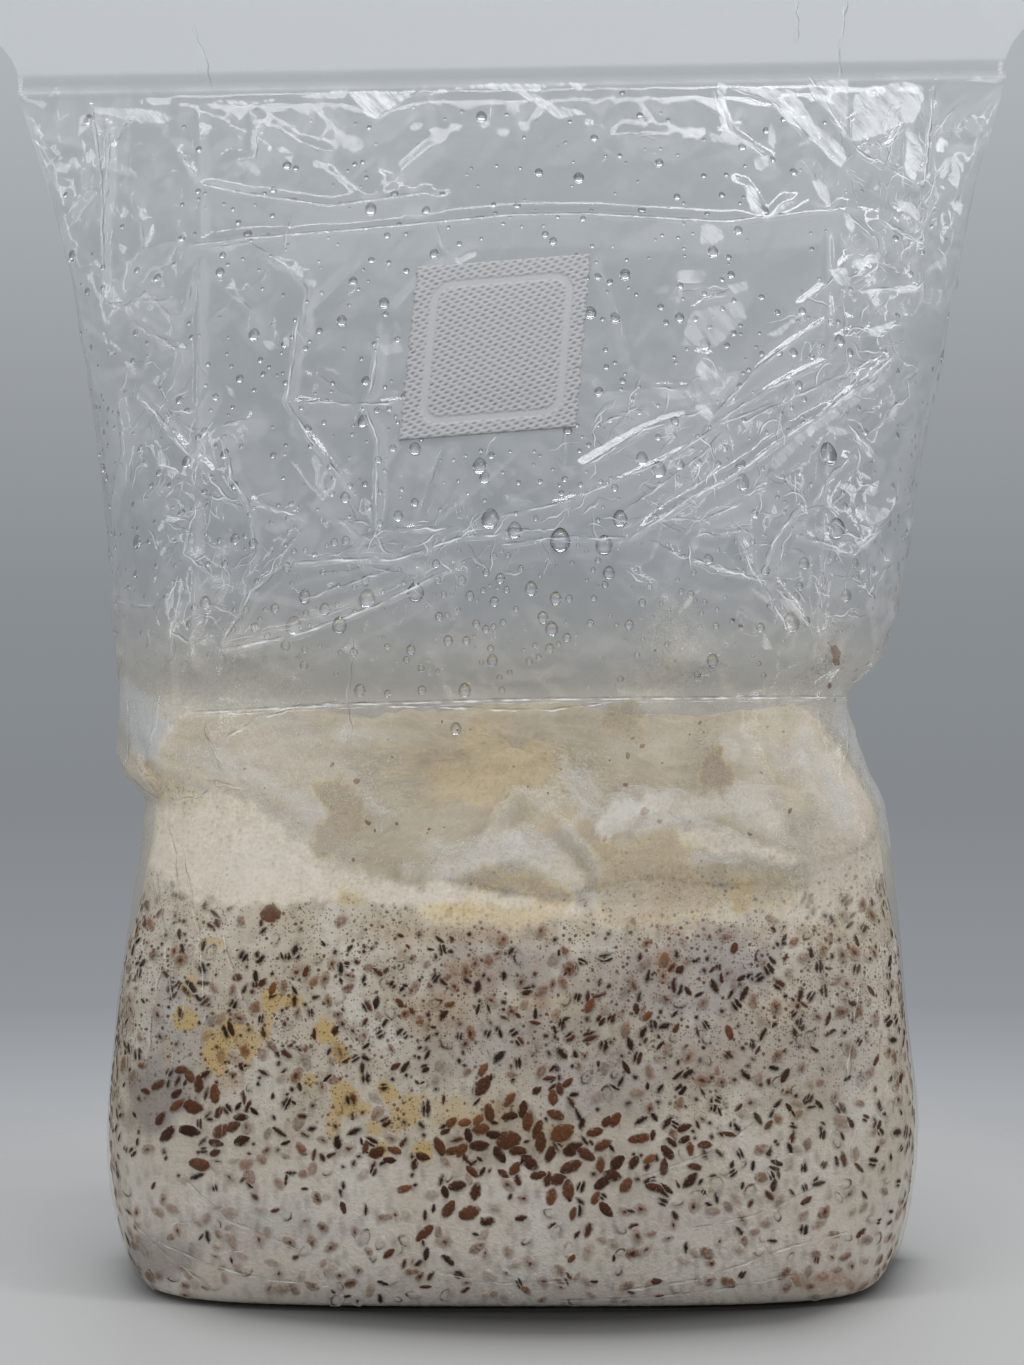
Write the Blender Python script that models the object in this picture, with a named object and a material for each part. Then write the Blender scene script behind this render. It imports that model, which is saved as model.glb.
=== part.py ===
"""A clear gusseted bag of grain spawn: film, filter patch and the grown block of grain.

The bag stands on its flat base with +Z up, its front panel faces -Y, and the origin is
the middle of the base. Sizes are written in millimetres and built in metres.
"""
import math
from functools import lru_cache

import bmesh
import bpy
from mathutils import noise, Vector

MM = 0.001

# The bag as it was made
PANEL_WIDTH = 203.0         # front and back panels, between their gusset creases
FILM_WALL = 0.5             # the film is 0.08 mm, and is modelled thicker

# The lower bag, round the block
BLOCK_WIDTH = 237.0         # side to side at the widest
BLOCK_DEPTH = 122.0         # front to back at the deepest
BULGE_HEIGHT = 45.0         # where the block is widest
FOOT_RISE = 20.0            # height of the rounded lower edge
FOOT_INSET_SIDE = 8.0       # how far that edge draws in at the sides
FOOT_INSET_FACE = 3.5       # and at the front and the back
SHOULDER_HEIGHT = 112.0     # where the block's front stops and the film leans in
SHOULDER_LEAN = 7.0         # how far each side has leaned in by then

# The neck, where the film is creased over the block, and the folded corner below it
NOTCH_RISE = 27.0           # shoulder to the notch under the folded corner
NOTCH_DRAW = 12.3           # how far the notch lies in from the block's widest
NECK_RISE = 29.5            # notch to neck
NECK_DRAW_LEFT = 2.0
NECK_DRAW_RIGHT = 20.8
NECK_DEPTH = 98.0

# The head of the bag, with air in it
HEAD_RISE = 43.5            # neck to where the head is fullest
HEAD_WIDTH = 237.0
HEAD_DEPTH = 98.0

# The heat seal, and the open end above it
SEAL_RISE = 140.0           # fullest head to the lower edge of the seal
SEAL_WIDTH = 296.0
SEAL_BAND = 4.8
SEAL_SLIT = 0.2             # what the two walls keep between them where the seal starts
SEAL_TILT = 5.0             # right end of the seal above its left end
MOUTH_LENGTH = 48.2         # unsealed film above the seal
MOUTH_WIDTH = 330.0         # with its gussets pulled out flat
MOUTH_GAP = 3.6             # between the two sheets at the open end

# The filter patch, welded over a window in the front panel
PATCH_WIDTH = 50.0
PATCH_HEIGHT = 52.0
PATCH_THICKNESS = 0.8
PATCH_TURN = 4.5            # degrees that its level edges rise to the right
PATCH_LEAN = 5.0            # degrees that its upright edges lean to the right
PATCH_X = -4.6
PATCH_DROP = 83.2           # seal to the middle of the patch
WELD_INSET = 6.0            # patch edge to the weld line
WELD_WIDTH = 2.4
WELD_DEPTH = 0.3
WINDOW_MARGIN = 8.5         # patch edge to the window's edge

# The grown block
FIT_GAP = 0.3               # between pieces that touch
SHOULDER_EASE = 1.2         # the block's leaning shoulder stays at least this much further inside
FRONT_DROP = 2.0            # shoulder down to the top of the block's front
BACK_DROP = 5.5             # neck down to the top of the block's back
LEFT_LIFT = 34.0            # how much higher the front's top runs at the left end
RIGHT_LIFT = 12.0
LUMP_HEIGHT = 5.0
LUMP_SIZE = 34.0

# How finely each piece is divided
PANEL_STEPS = 12
GUSSET_STEPS = 5
CURVE_STEPS = 12            # straight runs between two points of a section's outline
RISE_STEPS = 6              # rows up the block's shoulder
TOP_RINGS = 6
PATCH_STEPS = 12

# Heights above the base that follow from these
NOTCH_HEIGHT = SHOULDER_HEIGHT + NOTCH_RISE
NECK_HEIGHT = NOTCH_HEIGHT + NECK_RISE
HEAD_HEIGHT = NECK_HEIGHT + HEAD_RISE
SEAL_HEIGHT = HEAD_HEIGHT + SEAL_RISE
SEAL_TOP = SEAL_HEIGHT + SEAL_BAND
BAG_HEIGHT = SEAL_TOP + MOUTH_LENGTH
PATCH_Z = SEAL_HEIGHT - PATCH_DROP
WINDOW_WIDTH = PATCH_WIDTH - 2.0 * WINDOW_MARGIN
WINDOW_HEIGHT = PATCH_HEIGHT - 2.0 * WINDOW_MARGIN
WINDOW_LOW = PATCH_Z - WINDOW_HEIGHT / 2.0
WINDOW_HIGH = PATCH_Z + WINDOW_HEIGHT / 2.0


def outline_rows():
    """Height, left, right, front, back and how square the sides are, from the base up."""
    half = BLOCK_WIDTH / 2.0
    deep = BLOCK_DEPTH / 2.0
    head = HEAD_WIDTH / 2.0
    head_deep = HEAD_DEPTH / 2.0
    neck_deep = NECK_DEPTH / 2.0
    neck_left, neck_right = half - NECK_DRAW_LEFT, half - NECK_DRAW_RIGHT
    seal = SEAL_WIDTH / 2.0
    thin = FILM_WALL + SEAL_SLIT / 2.0
    mouth, lips = MOUTH_WIDTH / 2.0, FILM_WALL + MOUTH_GAP / 2.0
    rows = [
        (0.0, half - 5.0, half - 6.0, deep - 1.0, deep - 1.0, 1.0),
        (BULGE_HEIGHT, half, half, deep, deep, 1.0),
        ((BULGE_HEIGHT + SHOULDER_HEIGHT) / 2.0, half - 3.0, half - 3.5, deep - 1.0, deep - 0.5, 1.0),
        (SHOULDER_HEIGHT, half - SHOULDER_LEAN - 1.5, half - SHOULDER_LEAN, deep - 5.0, deep - 2.0, 1.0),
        (NOTCH_HEIGHT, half - NOTCH_DRAW, neck_right + 9.5, neck_deep + 3.0, neck_deep + 7.0, 0.9),
        (NOTCH_HEIGHT + 0.3 * NECK_RISE, neck_left - 1.5, neck_right + 5.5, neck_deep + 1.0, neck_deep + 5.0, 0.85),
        (NOTCH_HEIGHT + 0.65 * NECK_RISE, neck_left, neck_right + 2.0, neck_deep - 1.0, neck_deep + 2.0, 0.8),
        (NECK_HEIGHT, neck_left, neck_right, neck_deep - 3.0, neck_deep, 0.75),
        (NECK_HEIGHT + 0.3 * HEAD_RISE, head - 0.8, head - 9.5, head_deep, head_deep, 0.65),
        (HEAD_HEIGHT, head + 1.0, head - 1.0, head_deep, head_deep, 0.5),
    ]
    widening = ((0.28, 0.24, 0.80), (0.50, 0.44, 0.60), (0.75, 0.68, 0.31), (0.96, 0.95, 0.06))
    for climb, spread, depth in widening:
        side = head + spread * (seal - head)
        y = thin + depth * (head_deep - thin)
        rows.append((HEAD_HEIGHT + climb * SEAL_RISE, side, side, y, y, 0.4 * (1.0 - climb)))
    flared = SEAL_TOP + 0.45 * MOUTH_LENGTH
    rows += [
        (SEAL_HEIGHT, seal, seal, thin, thin, 0.2),
        (SEAL_TOP, seal, seal, thin, thin, 0.2),
        (flared, mouth - 3.0, mouth - 3.0, 0.8 * lips, 0.8 * lips, 0.2),
        (BAG_HEIGHT, mouth, mouth, lips, lips, 0.2),
    ]
    return rows


def slopes(heights, values):
    """Tangents for a curve through the rows that never swings past them."""
    runs = [b - a for a, b in zip(heights, heights[1:])]
    falls = [(b - a) / run for a, b, run in zip(values, values[1:], runs)]
    tangents = [falls[0]]
    for before, after in zip(falls, falls[1:]):
        flat = before * after <= 0.0
        tangents.append(0.0 if flat else 2.0 * before * after / (before + after))
    return tangents + [falls[-1]]


ROWS = outline_rows()
ROW_HEIGHTS = [row[0] for row in ROWS]
ROW_SLOPES = [slopes(ROW_HEIGHTS, [row[k] for row in ROWS]) for k in range(1, 6)]


def outline_at(height):
    """Left, right, front, back and squareness of the bag at a height."""
    height = min(max(height, ROW_HEIGHTS[0]), ROW_HEIGHTS[-1])
    i = max(k for k in range(len(ROWS) - 1) if ROW_HEIGHTS[k] <= height)
    run = ROW_HEIGHTS[i + 1] - ROW_HEIGHTS[i]
    t = (height - ROW_HEIGHTS[i]) / run
    values = []
    for k in range(5):
        a, b = ROWS[i][k + 1], ROWS[i + 1][k + 1]
        ta, tb = ROW_SLOPES[k][i] * run, ROW_SLOPES[k][i + 1] * run
        values.append(a * (2 * t ** 3 - 3 * t ** 2 + 1) + ta * (t ** 3 - 2 * t ** 2 + t)
                      + b * (3 * t ** 2 - 2 * t ** 3) + tb * (t ** 3 - t ** 2))
    return values


def foot_share(height):
    """How much of the rounded lower edge's inset is left at a height, from 1 at the base to 0."""
    if height >= FOOT_RISE:
        return 0.0
    return 1.0 - math.sqrt(1.0 - (1.0 - height / FOOT_RISE) ** 2)


def section_curve(height, inset):
    """The bag's outline seen from above, as a smooth ring from the middle of the front."""
    left, right, front, back, square = outline_at(height)
    side_inset = inset + FOOT_INSET_SIDE * foot_share(height)
    face_inset = inset + FOOT_INSET_FACE * foot_share(height)
    left, right, front, back = left - side_inset, right - side_inset, front - face_inset, back - face_inset
    corner_left = min(PANEL_WIDTH / 2.0, left - 6.0)
    corner_right = min(PANEL_WIDTH / 2.0, right - 6.0)
    side_front, side_back = -front * (0.12 + 0.5 * square), back * (0.12 + 0.5 * square)
    ring = [(0.0, -front), (corner_right, -front), (right, side_front), (right, side_back),
            (corner_right, back), (0.0, back), (-corner_left, back), (-left, side_back),
            (-left, side_front), (-corner_left, -front)]
    points = []
    for i in range(len(ring)):
        a, b, c, d = (ring[(i + k) % len(ring)] for k in (-1, 0, 1, 2))
        for step in range(CURVE_STEPS):
            t = step / CURVE_STEPS
            weights = ((1 - t) ** 3, 3 * t ** 3 - 6 * t ** 2 + 4, -3 * t ** 3 + 3 * t ** 2 + 3 * t + 1, t ** 3)
            points.append(tuple(sum(w * p[k] for w, p in zip(weights, (a, b, c, d))) / 6.0 for k in (0, 1)))
    x_low, x_high = min(p[0] for p in points), max(p[0] for p in points)
    y_low, y_high = min(p[1] for p in points), max(p[1] for p in points)
    fitted = []
    for x, y in points:
        x *= right / x_high if x > 0.0 else left / -x_low
        y *= back / y_high if y > 0.0 else front / -y_low
        fitted.append((x, y))
    return fitted


def split_run(points, shares):
    """Points at the given shares of the length of a run of points."""
    lengths = [0.0]
    for a, b in zip(points, points[1:]):
        lengths.append(lengths[-1] + math.dist(a, b))
    found = []
    for share in shares:
        target = share * lengths[-1]
        i = max(k for k in range(len(points) - 1) if lengths[k] <= target + 1e-9)
        t = (target - lengths[i]) / (lengths[i + 1] - lengths[i])
        found.append(tuple(a + t * (b - a) for a, b in zip(points[i], points[i + 1])))
    return found


def panel_shares():
    """Where the columns cross a panel, as shares from its left crease to its right one."""
    half = PANEL_WIDTH / 2.0
    window_left = PATCH_X - WINDOW_WIDTH / 2.0
    window_right = PATCH_X + WINDOW_WIDTH / 2.0
    outer = PANEL_STEPS // 2 - 1
    xs = [-half + (window_left + half) * k / outer for k in range(outer)]
    xs += [window_left, PATCH_X, window_right]
    xs += [window_right + (half - window_right) * k / outer for k in range(1, outer + 1)]
    return [(x + half) / PANEL_WIDTH for x in xs]


@lru_cache(maxsize=None)
def section_ring(height, inset):
    """One row of the film: x and y at every column, from the front panel's left crease round."""
    curve = section_curve(height, inset)
    n = CURVE_STEPS
    closed = curve + curve[:1]
    front = curve[9 * n:] + curve[:n + 1]
    right_side = curve[n:4 * n + 1]
    back = curve[4 * n:6 * n + 1]
    left_side = closed[6 * n:9 * n + 1]
    shares = panel_shares()
    gusset = [k / (2 * GUSSET_STEPS) for k in range(2 * GUSSET_STEPS + 1)]
    ring = split_run(front, shares)[:-1]
    ring += split_run(right_side, gusset)[:-1]
    ring += split_run(back, [1.0 - share for share in reversed(shares)])[:-1]
    ring += split_run(left_side, gusset)[:-1]
    return ring


def wall_point(height, inset, column):
    """Where one column of the film lies at any height, on the straight run between its two rows."""
    heights = film_heights()
    i = max(k for k in range(len(heights) - 1) if heights[k] <= height)
    t = (height - heights[i]) / (heights[i + 1] - heights[i])
    low, high = section_ring(heights[i], inset)[column], section_ring(heights[i + 1], inset)[column]
    return low[0] + t * (high[0] - low[0]), low[1] + t * (high[1] - low[1])


def tilt(x, height):
    """The seal and all above it rise from left to right."""
    start = (HEAD_HEIGHT + SEAL_HEIGHT) / 2.0
    share = min(max((height - start) / (SEAL_HEIGHT - start), 0.0), 1.0)
    return SEAL_TILT * share * x / SEAL_WIDTH


@lru_cache(maxsize=None)
def film_heights():
    """Heights of the film's rows, from the base to the open end."""
    stops = [(0.0, 0), (0.1 * FOOT_RISE, 1), (0.3 * FOOT_RISE, 1), (FOOT_RISE, 2), (BULGE_HEIGHT, 2),
             (SHOULDER_HEIGHT, 4), (NOTCH_HEIGHT, 2), (NECK_HEIGHT, 3), (HEAD_HEIGHT, 4),
             (WINDOW_LOW, 3), (WINDOW_HIGH, 3), (SEAL_HEIGHT, 5), (SEAL_TOP, 1), (BAG_HEIGHT, 3)]
    heights = [0.0]
    for (low, _), (high, steps) in zip(stops, stops[1:]):
        heights += [low + (high - low) * k / steps for k in range(1, steps + 1)]
    return tuple(heights)


def new_material(name, colour, roughness, transmission=0.0):
    material = bpy.data.materials.new(name)
    material.use_nodes = True
    shader = material.node_tree.nodes["Principled BSDF"]
    shader.inputs["Base Color"].default_value = (*colour, 1.0)
    shader.inputs["Roughness"].default_value = roughness
    shader.inputs["Metallic"].default_value = 0.0
    shader.inputs["Transmission Weight"].default_value = transmission
    return material


def new_object(name, mesh_edit, material):
    bmesh.ops.recalc_face_normals(mesh_edit, faces=mesh_edit.faces)
    mesh = bpy.data.meshes.new(name)
    mesh_edit.to_mesh(mesh)
    mesh_edit.free()
    mesh.materials.append(material)
    mesh.shade_smooth()
    mesh.set_sharp_from_angle(angle=math.radians(35.0))
    built = bpy.data.objects.new(name, mesh)
    bpy.context.scene.collection.objects.link(built)
    return built


def add_ring(mesh_edit, outline, height):
    """A row of vertices at one height, tilted with the seal."""
    return [mesh_edit.verts.new((x * MM, y * MM, (height + tilt(x, height)) * MM)) for x, y in outline]


def join_rings(mesh_edit, low, high, leave_out=()):
    """A band of four-sided faces between two rows."""
    count = len(low)
    for i in range(count):
        if i in leave_out:
            continue
        k = (i + 1) % count
        mesh_edit.faces.new((low[i], low[k], high[k], high[i]))


def close_slit(mesh_edit, ring):
    """Faces from the front half of a thin row straight across to its back half."""
    count = len(ring)
    shift = 2 * GUSSET_STEPS
    first = GUSSET_STEPS + PANEL_STEPS
    front = [ring[(first - k) % count] for k in range(PANEL_STEPS + shift + 1)]
    back = [ring[(first + k) % count] for k in range(PANEL_STEPS + shift + 1)]
    last = len(front) - 1
    mesh_edit.faces.new((front[0], front[1], back[1]))
    for k in range(1, last - 1):
        mesh_edit.faces.new((front[k], front[k + 1], back[k + 1], back[k]))
    mesh_edit.faces.new((front[last - 1], front[last], back[last - 1]))


def build_film():
    """The film: an outer skin, the space inside it, the seal, and the open end above."""
    heights = film_heights()
    window_columns = (PANEL_STEPS // 2 - 1, PANEL_STEPS // 2)
    mesh_edit = bmesh.new()
    outer, inner, pocket = [], [], []
    for height in heights:
        outer.append(add_ring(mesh_edit, section_ring(height, 0.0), height))
        inside = section_ring(height, FILM_WALL)
        lift = FILM_WALL * max(0.0, 1.0 - height / FOOT_RISE)
        if height <= SEAL_HEIGHT + 1e-6:
            inner.append(add_ring(mesh_edit, inside, height + lift))
        if height >= SEAL_TOP - 1e-6:
            pocket.append(add_ring(mesh_edit, inside, height))
    rims = []
    for skin in (outer, inner):
        for i in range(len(skin) - 1):
            open_row = WINDOW_LOW - 1e-6 <= heights[i] and heights[i + 1] <= WINDOW_HIGH + 1e-6
            join_rings(mesh_edit, skin[i], skin[i + 1], window_columns if open_row else ())
        rows = [i for i, height in enumerate(heights) if WINDOW_LOW - 1e-6 <= height <= WINDOW_HIGH + 1e-6]
        columns = range(window_columns[0], window_columns[-1] + 2)
        rim = [skin[rows[0]][c] for c in columns]
        rim += [skin[r][columns[-1]] for r in rows[1:]]
        rim += [skin[rows[-1]][c] for c in reversed(columns[:-1])]
        rim += [skin[r][columns[0]] for r in reversed(rows[1:-1])]
        rims.append(rim)
    join_rings(mesh_edit, rims[0], rims[1])
    for i in range(len(pocket) - 1):
        join_rings(mesh_edit, pocket[i], pocket[i + 1])
    join_rings(mesh_edit, outer[-1], pocket[-1])
    mesh_edit.faces.new(outer[0])
    mesh_edit.faces.new(inner[0])
    close_slit(mesh_edit, inner[-1])
    close_slit(mesh_edit, pocket[0])
    clear = new_material("clear_film", (0.90, 0.92, 0.93), 0.12, transmission=0.9)
    return new_object("bag_film", mesh_edit, clear)


def front_point(x, height, stand_off):
    """A point on the front panel, held off the film by a distance."""
    curve = section_curve(height, 0.0)
    front = curve[9 * CURVE_STEPS:] + curve[:CURVE_STEPS + 1]
    i = max(k for k in range(len(front) - 1) if front[k][0] <= x)
    t = (x - front[i][0]) / (front[i + 1][0] - front[i][0])
    y = front[i][1] + t * (front[i + 1][1] - front[i][1])
    step = 2.0
    lean = (outline_at(height + step)[2] - outline_at(height - step)[2]) / (2.0 * step)
    out = Vector((0.0, -1.0, -lean)).normalized()
    return Vector((x, y, height)) + out * stand_off


def weld_dip(across, up):
    """Depth of the weld line's groove at a place on the patch."""
    edge = min(PATCH_WIDTH / 2.0 - abs(across), PATCH_HEIGHT / 2.0 - abs(up))
    return WELD_DEPTH if abs(edge - WELD_INSET) <= WELD_WIDTH / 2.0 + 1e-6 else 0.0


def patch_lines(size):
    """Distances from the patch's middle at which its grid has lines, with two at each weld edge."""
    half = size / 2.0
    weld_out = half - WELD_INSET + WELD_WIDTH / 2.0
    weld_in = half - WELD_INSET - WELD_WIDTH / 2.0
    inner = [weld_in * (2.0 * k / (PATCH_STEPS // 2) - 1.0) for k in range(PATCH_STEPS // 2 + 1)]
    step_out = 0.4
    return ([-half, -weld_out - step_out, -weld_out] + [-weld_in] + [-weld_in + step_out] + inner[1:-1]
            + [weld_in - step_out] + [weld_in] + [weld_out, weld_out + step_out, half])


def build_patch():
    """The filter patch: a thin plate that follows the front panel, with its weld line pressed in."""
    mesh_edit = bmesh.new()
    turn, lean = math.radians(PATCH_TURN), math.radians(PATCH_LEAN)
    across_lines, up_lines = patch_lines(PATCH_WIDTH), patch_lines(PATCH_HEIGHT)
    skins = []
    for is_face in (True, False):
        grid = []
        for up in up_lines:
            row = []
            for across in across_lines:
                x = PATCH_X + across * math.cos(turn) + up * math.sin(lean)
                z = PATCH_Z + across * math.sin(turn) + up * math.cos(lean)
                off = FIT_GAP + (PATCH_THICKNESS - weld_dip(across, up) if is_face else 0.0)
                row.append(mesh_edit.verts.new(front_point(x, z, off) * MM))
            grid.append(row)
        skins.append(grid)
        for i in range(len(grid) - 1):
            for j in range(len(grid[0]) - 1):
                mesh_edit.faces.new((grid[i][j], grid[i][j + 1], grid[i + 1][j + 1], grid[i + 1][j]))
    rims = []
    for grid in skins:
        rims.append(grid[0] + [row[-1] for row in grid[1:]] + grid[-1][-2::-1] + [row[0] for row in grid[-2:0:-1]])
    join_rings(mesh_edit, rims[0], rims[1])
    white = new_material("filter_fabric", (0.80, 0.79, 0.76), 0.85)
    return new_object("filter_patch", mesh_edit, white)


def block_top(x, y):
    """Height of the block's top: low in front, high at the back, lifted at both ends."""
    deep = BLOCK_DEPTH / 2.0
    share = min(max((y + deep) / (1.5 * deep), 0.0), 1.0)
    side = x / (BLOCK_WIDTH / 2.0)
    lift = LEFT_LIFT * min(max(-side - 0.25, 0.0) / 0.5, 1.0) ** 1.5 + RIGHT_LIFT * max(side, 0.0) ** 2
    front = SHOULDER_HEIGHT - FRONT_DROP + lift
    height = front + (NECK_HEIGHT - BACK_DROP - front) * share ** 0.8
    return height + LUMP_HEIGHT * noise.noise(Vector((x, y, 0.0)) / LUMP_SIZE)


def build_block():
    """The block: grain grown through and matted over by its own white threads."""
    mesh_edit = bmesh.new()
    inset = FILM_WALL + FIT_GAP
    even = [height for height in film_heights() if height < SHOULDER_HEIGHT - 12.0]
    rings = []
    for height in even:
        lift = inset * max(0.0, 1.0 - height / FOOT_RISE)
        rings.append(add_ring(mesh_edit, section_ring(height, inset), height + lift))
    last = even[-1]
    columns = len(rings[0])
    for step in range(1, RISE_STEPS + 1):
        row = []
        for column in range(columns):
            x, y = section_ring(last, inset)[column]
            top = block_top(x, y)
            height = last + (top - last) * step / RISE_STEPS
            reach = (top - last) / RISE_STEPS
            nearby = [wall_point(height + k * reach, inset + SHOULDER_EASE, column) for k in (-1, 0, 1)]
            draw_in = min(math.hypot(*place) for place in nearby) / math.hypot(*nearby[1])
            x, y = nearby[1][0] * draw_in, nearby[1][1] * draw_in
            if height > NOTCH_HEIGHT and x < 0.0:
                x = max(x, section_ring(NOTCH_HEIGHT, inset + SHOULDER_EASE)[column][0])
            row.append(mesh_edit.verts.new((x * MM, y * MM, height * MM)))
        rings.append(row)
    for low, high in zip(rings, rings[1:]):
        join_rings(mesh_edit, low, high)
    mesh_edit.faces.new(rings[0])
    rim = rings[-1]
    rim_places = [vert.co / MM for vert in rim]
    for step in range(1, TOP_RINGS):
        share = 1.0 - step / TOP_RINGS
        row = []
        for place in rim_places:
            x, y = place.x * share, place.y * share
            row.append(mesh_edit.verts.new((x * MM, y * MM, block_top(x, y) * MM)))
        join_rings(mesh_edit, rim, row)
        rim = row
    middle = mesh_edit.verts.new((0.0, 0.0, block_top(0.0, 0.0) * MM))
    for i in range(columns):
        mesh_edit.faces.new((rim[i], rim[(i + 1) % columns], middle))
    grown = new_material("grown_grain", (0.66, 0.61, 0.53), 0.9)
    return new_object("grain_block", mesh_edit, grown)


for old in list(bpy.data.objects):
    bpy.data.objects.remove(old, do_unlink=True)

build_film()
build_patch()
build_block()
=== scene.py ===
"""Pioppino grain spawn bag: clear gusseted film, a white filter patch and the grown block of grain.

The bag stands on its flat base with +Z up and its front panel faces -Y. Shapes are worked out in
millimetres and built in metres.
"""
import math
import random

import bpy
import numpy as np
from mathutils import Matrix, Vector, noise


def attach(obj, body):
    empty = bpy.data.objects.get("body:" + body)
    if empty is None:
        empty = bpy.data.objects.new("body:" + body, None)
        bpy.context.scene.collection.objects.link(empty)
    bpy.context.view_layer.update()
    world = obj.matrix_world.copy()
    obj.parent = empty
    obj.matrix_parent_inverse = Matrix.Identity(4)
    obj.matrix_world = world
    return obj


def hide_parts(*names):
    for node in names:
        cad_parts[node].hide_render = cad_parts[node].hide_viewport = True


MM = 0.001
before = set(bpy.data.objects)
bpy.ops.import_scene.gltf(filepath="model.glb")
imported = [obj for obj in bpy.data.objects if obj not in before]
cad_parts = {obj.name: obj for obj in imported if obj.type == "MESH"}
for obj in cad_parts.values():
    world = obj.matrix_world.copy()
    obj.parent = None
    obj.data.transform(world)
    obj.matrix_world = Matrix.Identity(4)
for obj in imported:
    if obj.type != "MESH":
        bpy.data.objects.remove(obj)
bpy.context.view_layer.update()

scene = bpy.context.scene
scene.view_settings.view_transform = "Standard"


# Room: a pale table that fades into a grey backdrop, and large soft lights round the bag. The camera
# looks level at its front panel, a little below half height.
EYE_AWAY, EYE_UP = 700.0, 173.0
camera = bpy.data.objects.new("camera", bpy.data.cameras.new("camera"))
scene.collection.objects.link(camera)
scene.camera = camera
camera.location = (0.0, -EYE_AWAY * MM, EYE_UP * MM)
camera.rotation_euler = (math.radians(90.0), 0.0, 0.0)
camera.data.sensor_width = 36.0
camera.data.lens = 61.6
camera.data.clip_start = 0.01
camera.data.clip_end = 50.0


class Look:
    """The shader nodes of a material or of the room, with short ways to add and join them."""

    def __init__(self, owner, output="OutputMaterial"):
        owner.use_nodes = True
        self.tree = owner.node_tree
        self.tree.nodes.clear()
        self.out = self.node(output)

    def put(self, socket, value):
        """Feed a socket from another one or from a node's first output, or give it a number or a colour."""
        if isinstance(value, bpy.types.Node):
            value = value.outputs[0]
        if isinstance(value, bpy.types.NodeSocket):
            self.tree.links.new(value, socket)
        elif socket.type == "RGBA" and len(value) == 3:
            socket.default_value = (*value, 1.0)
        else:
            socket.default_value = value

    def node(self, kind, *first, **named):
        """A shader node: its first inputs in order, more of them by name with spaces as underscores,
        and under names in small letters the settings of the node itself."""
        node = self.tree.nodes.new("ShaderNode" + kind)
        for name in [name for name in named if name[0].islower()]:
            setattr(node, name, named.pop(name))
        for socket, value in zip(node.inputs, first):
            self.put(socket, value)
        for name, value in named.items():
            self.put(node.inputs[name.replace("_", " ")], value)
        return node

    def math(self, operation, *values, clamp=False):
        """What a maths node makes of sockets or numbers."""
        return self.node("Math", *values, operation=operation, use_clamp=clamp).outputs[0]

    def times(self, first, second, clamp=False):
        return self.math("MULTIPLY", first, second, clamp=clamp)

    def plus(self, first, second, clamp=False):
        return self.math("ADD", first, second, clamp=clamp)

    def minus(self, first, second, clamp=False):
        return self.math("SUBTRACT", first, second, clamp=clamp)

    def area(self, name):
        """The value that each point of a mesh carries under a name."""
        return self.node("Attribute", attribute_name=name).outputs["Fac"]

    def ramp(self, value, stops):
        """A colour ramp over a value, from (place, colour) stops."""
        node = self.node("ValToRGB", value)
        elements = node.color_ramp.elements
        while len(elements) < len(stops):
            elements.new(0.5)
        for element, (place, colour) in zip(elements, stops):
            element.position = place
            element.color = (*colour, 1.0)
        return node.outputs["Color"]

    def blend(self, factor, first, second):
        """Two colours, or sockets with colours, mixed by a factor."""
        node = self.node("Mix", data_type="RGBA")
        for number, value in ((0, factor), (6, first), (7, second)):
            self.put(node.inputs[number], value)
        return node.outputs[2]

    def surface(self, shader):
        self.put(self.out.inputs["Surface"], shader)


def new_material(name):
    """A material with nothing in it but its output, and its nodes."""
    material = bpy.data.materials.new(name)
    return material, Look(material)


def new_mesh(name, points, faces, material, smooth=True, values=None):
    """A mesh object from points in millimetres, its faces, and named values for each point."""
    mesh = bpy.data.meshes.new(name)
    points, faces = np.asarray(points, float).reshape(-1, 3), np.asarray(faces, np.int64)
    sides = faces.shape[1]
    mesh.vertices.add(len(points))
    mesh.vertices.foreach_set("co", (points * MM).astype(np.float32).ravel())
    mesh.loops.add(faces.size)
    mesh.loops.foreach_set("vertex_index", faces.ravel().astype(np.int32))
    mesh.polygons.add(len(faces))
    mesh.polygons.foreach_set("loop_start", np.arange(0, faces.size, sides, dtype=np.int32))
    mesh.polygons.foreach_set("use_smooth", np.full(len(faces), smooth))
    mesh.update(calc_edges=True)
    mesh.validate()
    for key, value in (values or {}).items():
        layer = mesh.attributes.new(key, "FLOAT", "POINT")
        layer.data.foreach_set("value", np.asarray(value, np.float32).ravel())
    mesh.materials.append(material)
    made = bpy.data.objects.new(name, mesh)
    scene.collection.objects.link(made)
    return made


TABLE_GREY = (0.455, 0.45, 0.445)
world = bpy.data.worlds.new("room")
scene.world = world
w_look = Look(world, "OutputWorld")
w_place = w_look.node("TexCoord")
w_split = w_look.node("SeparateXYZ", w_place.outputs["Generated"])
w_climb = w_look.node("MapRange", From_Min=-0.25, From_Max=0.25, Value=w_split.outputs["Z"])
w_rise = w_look.node("MapRange", From_Min=-1.0, From_Max=1.0, Value=w_split.outputs["Z"])
w_sky = w_look.ramp(w_climb.outputs["Result"], [
    (0.00, (0.410, 0.415, 0.430)), (0.15, (0.400, 0.415, 0.435)), (0.23, (0.285, 0.300, 0.320)),
    (0.40, (0.232, 0.248, 0.264)), (0.57, (0.250, 0.270, 0.288)), (0.74, (0.315, 0.335, 0.358)),
    (0.90, (0.385, 0.410, 0.435)), (1.00, (0.430, 0.455, 0.480))])
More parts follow.
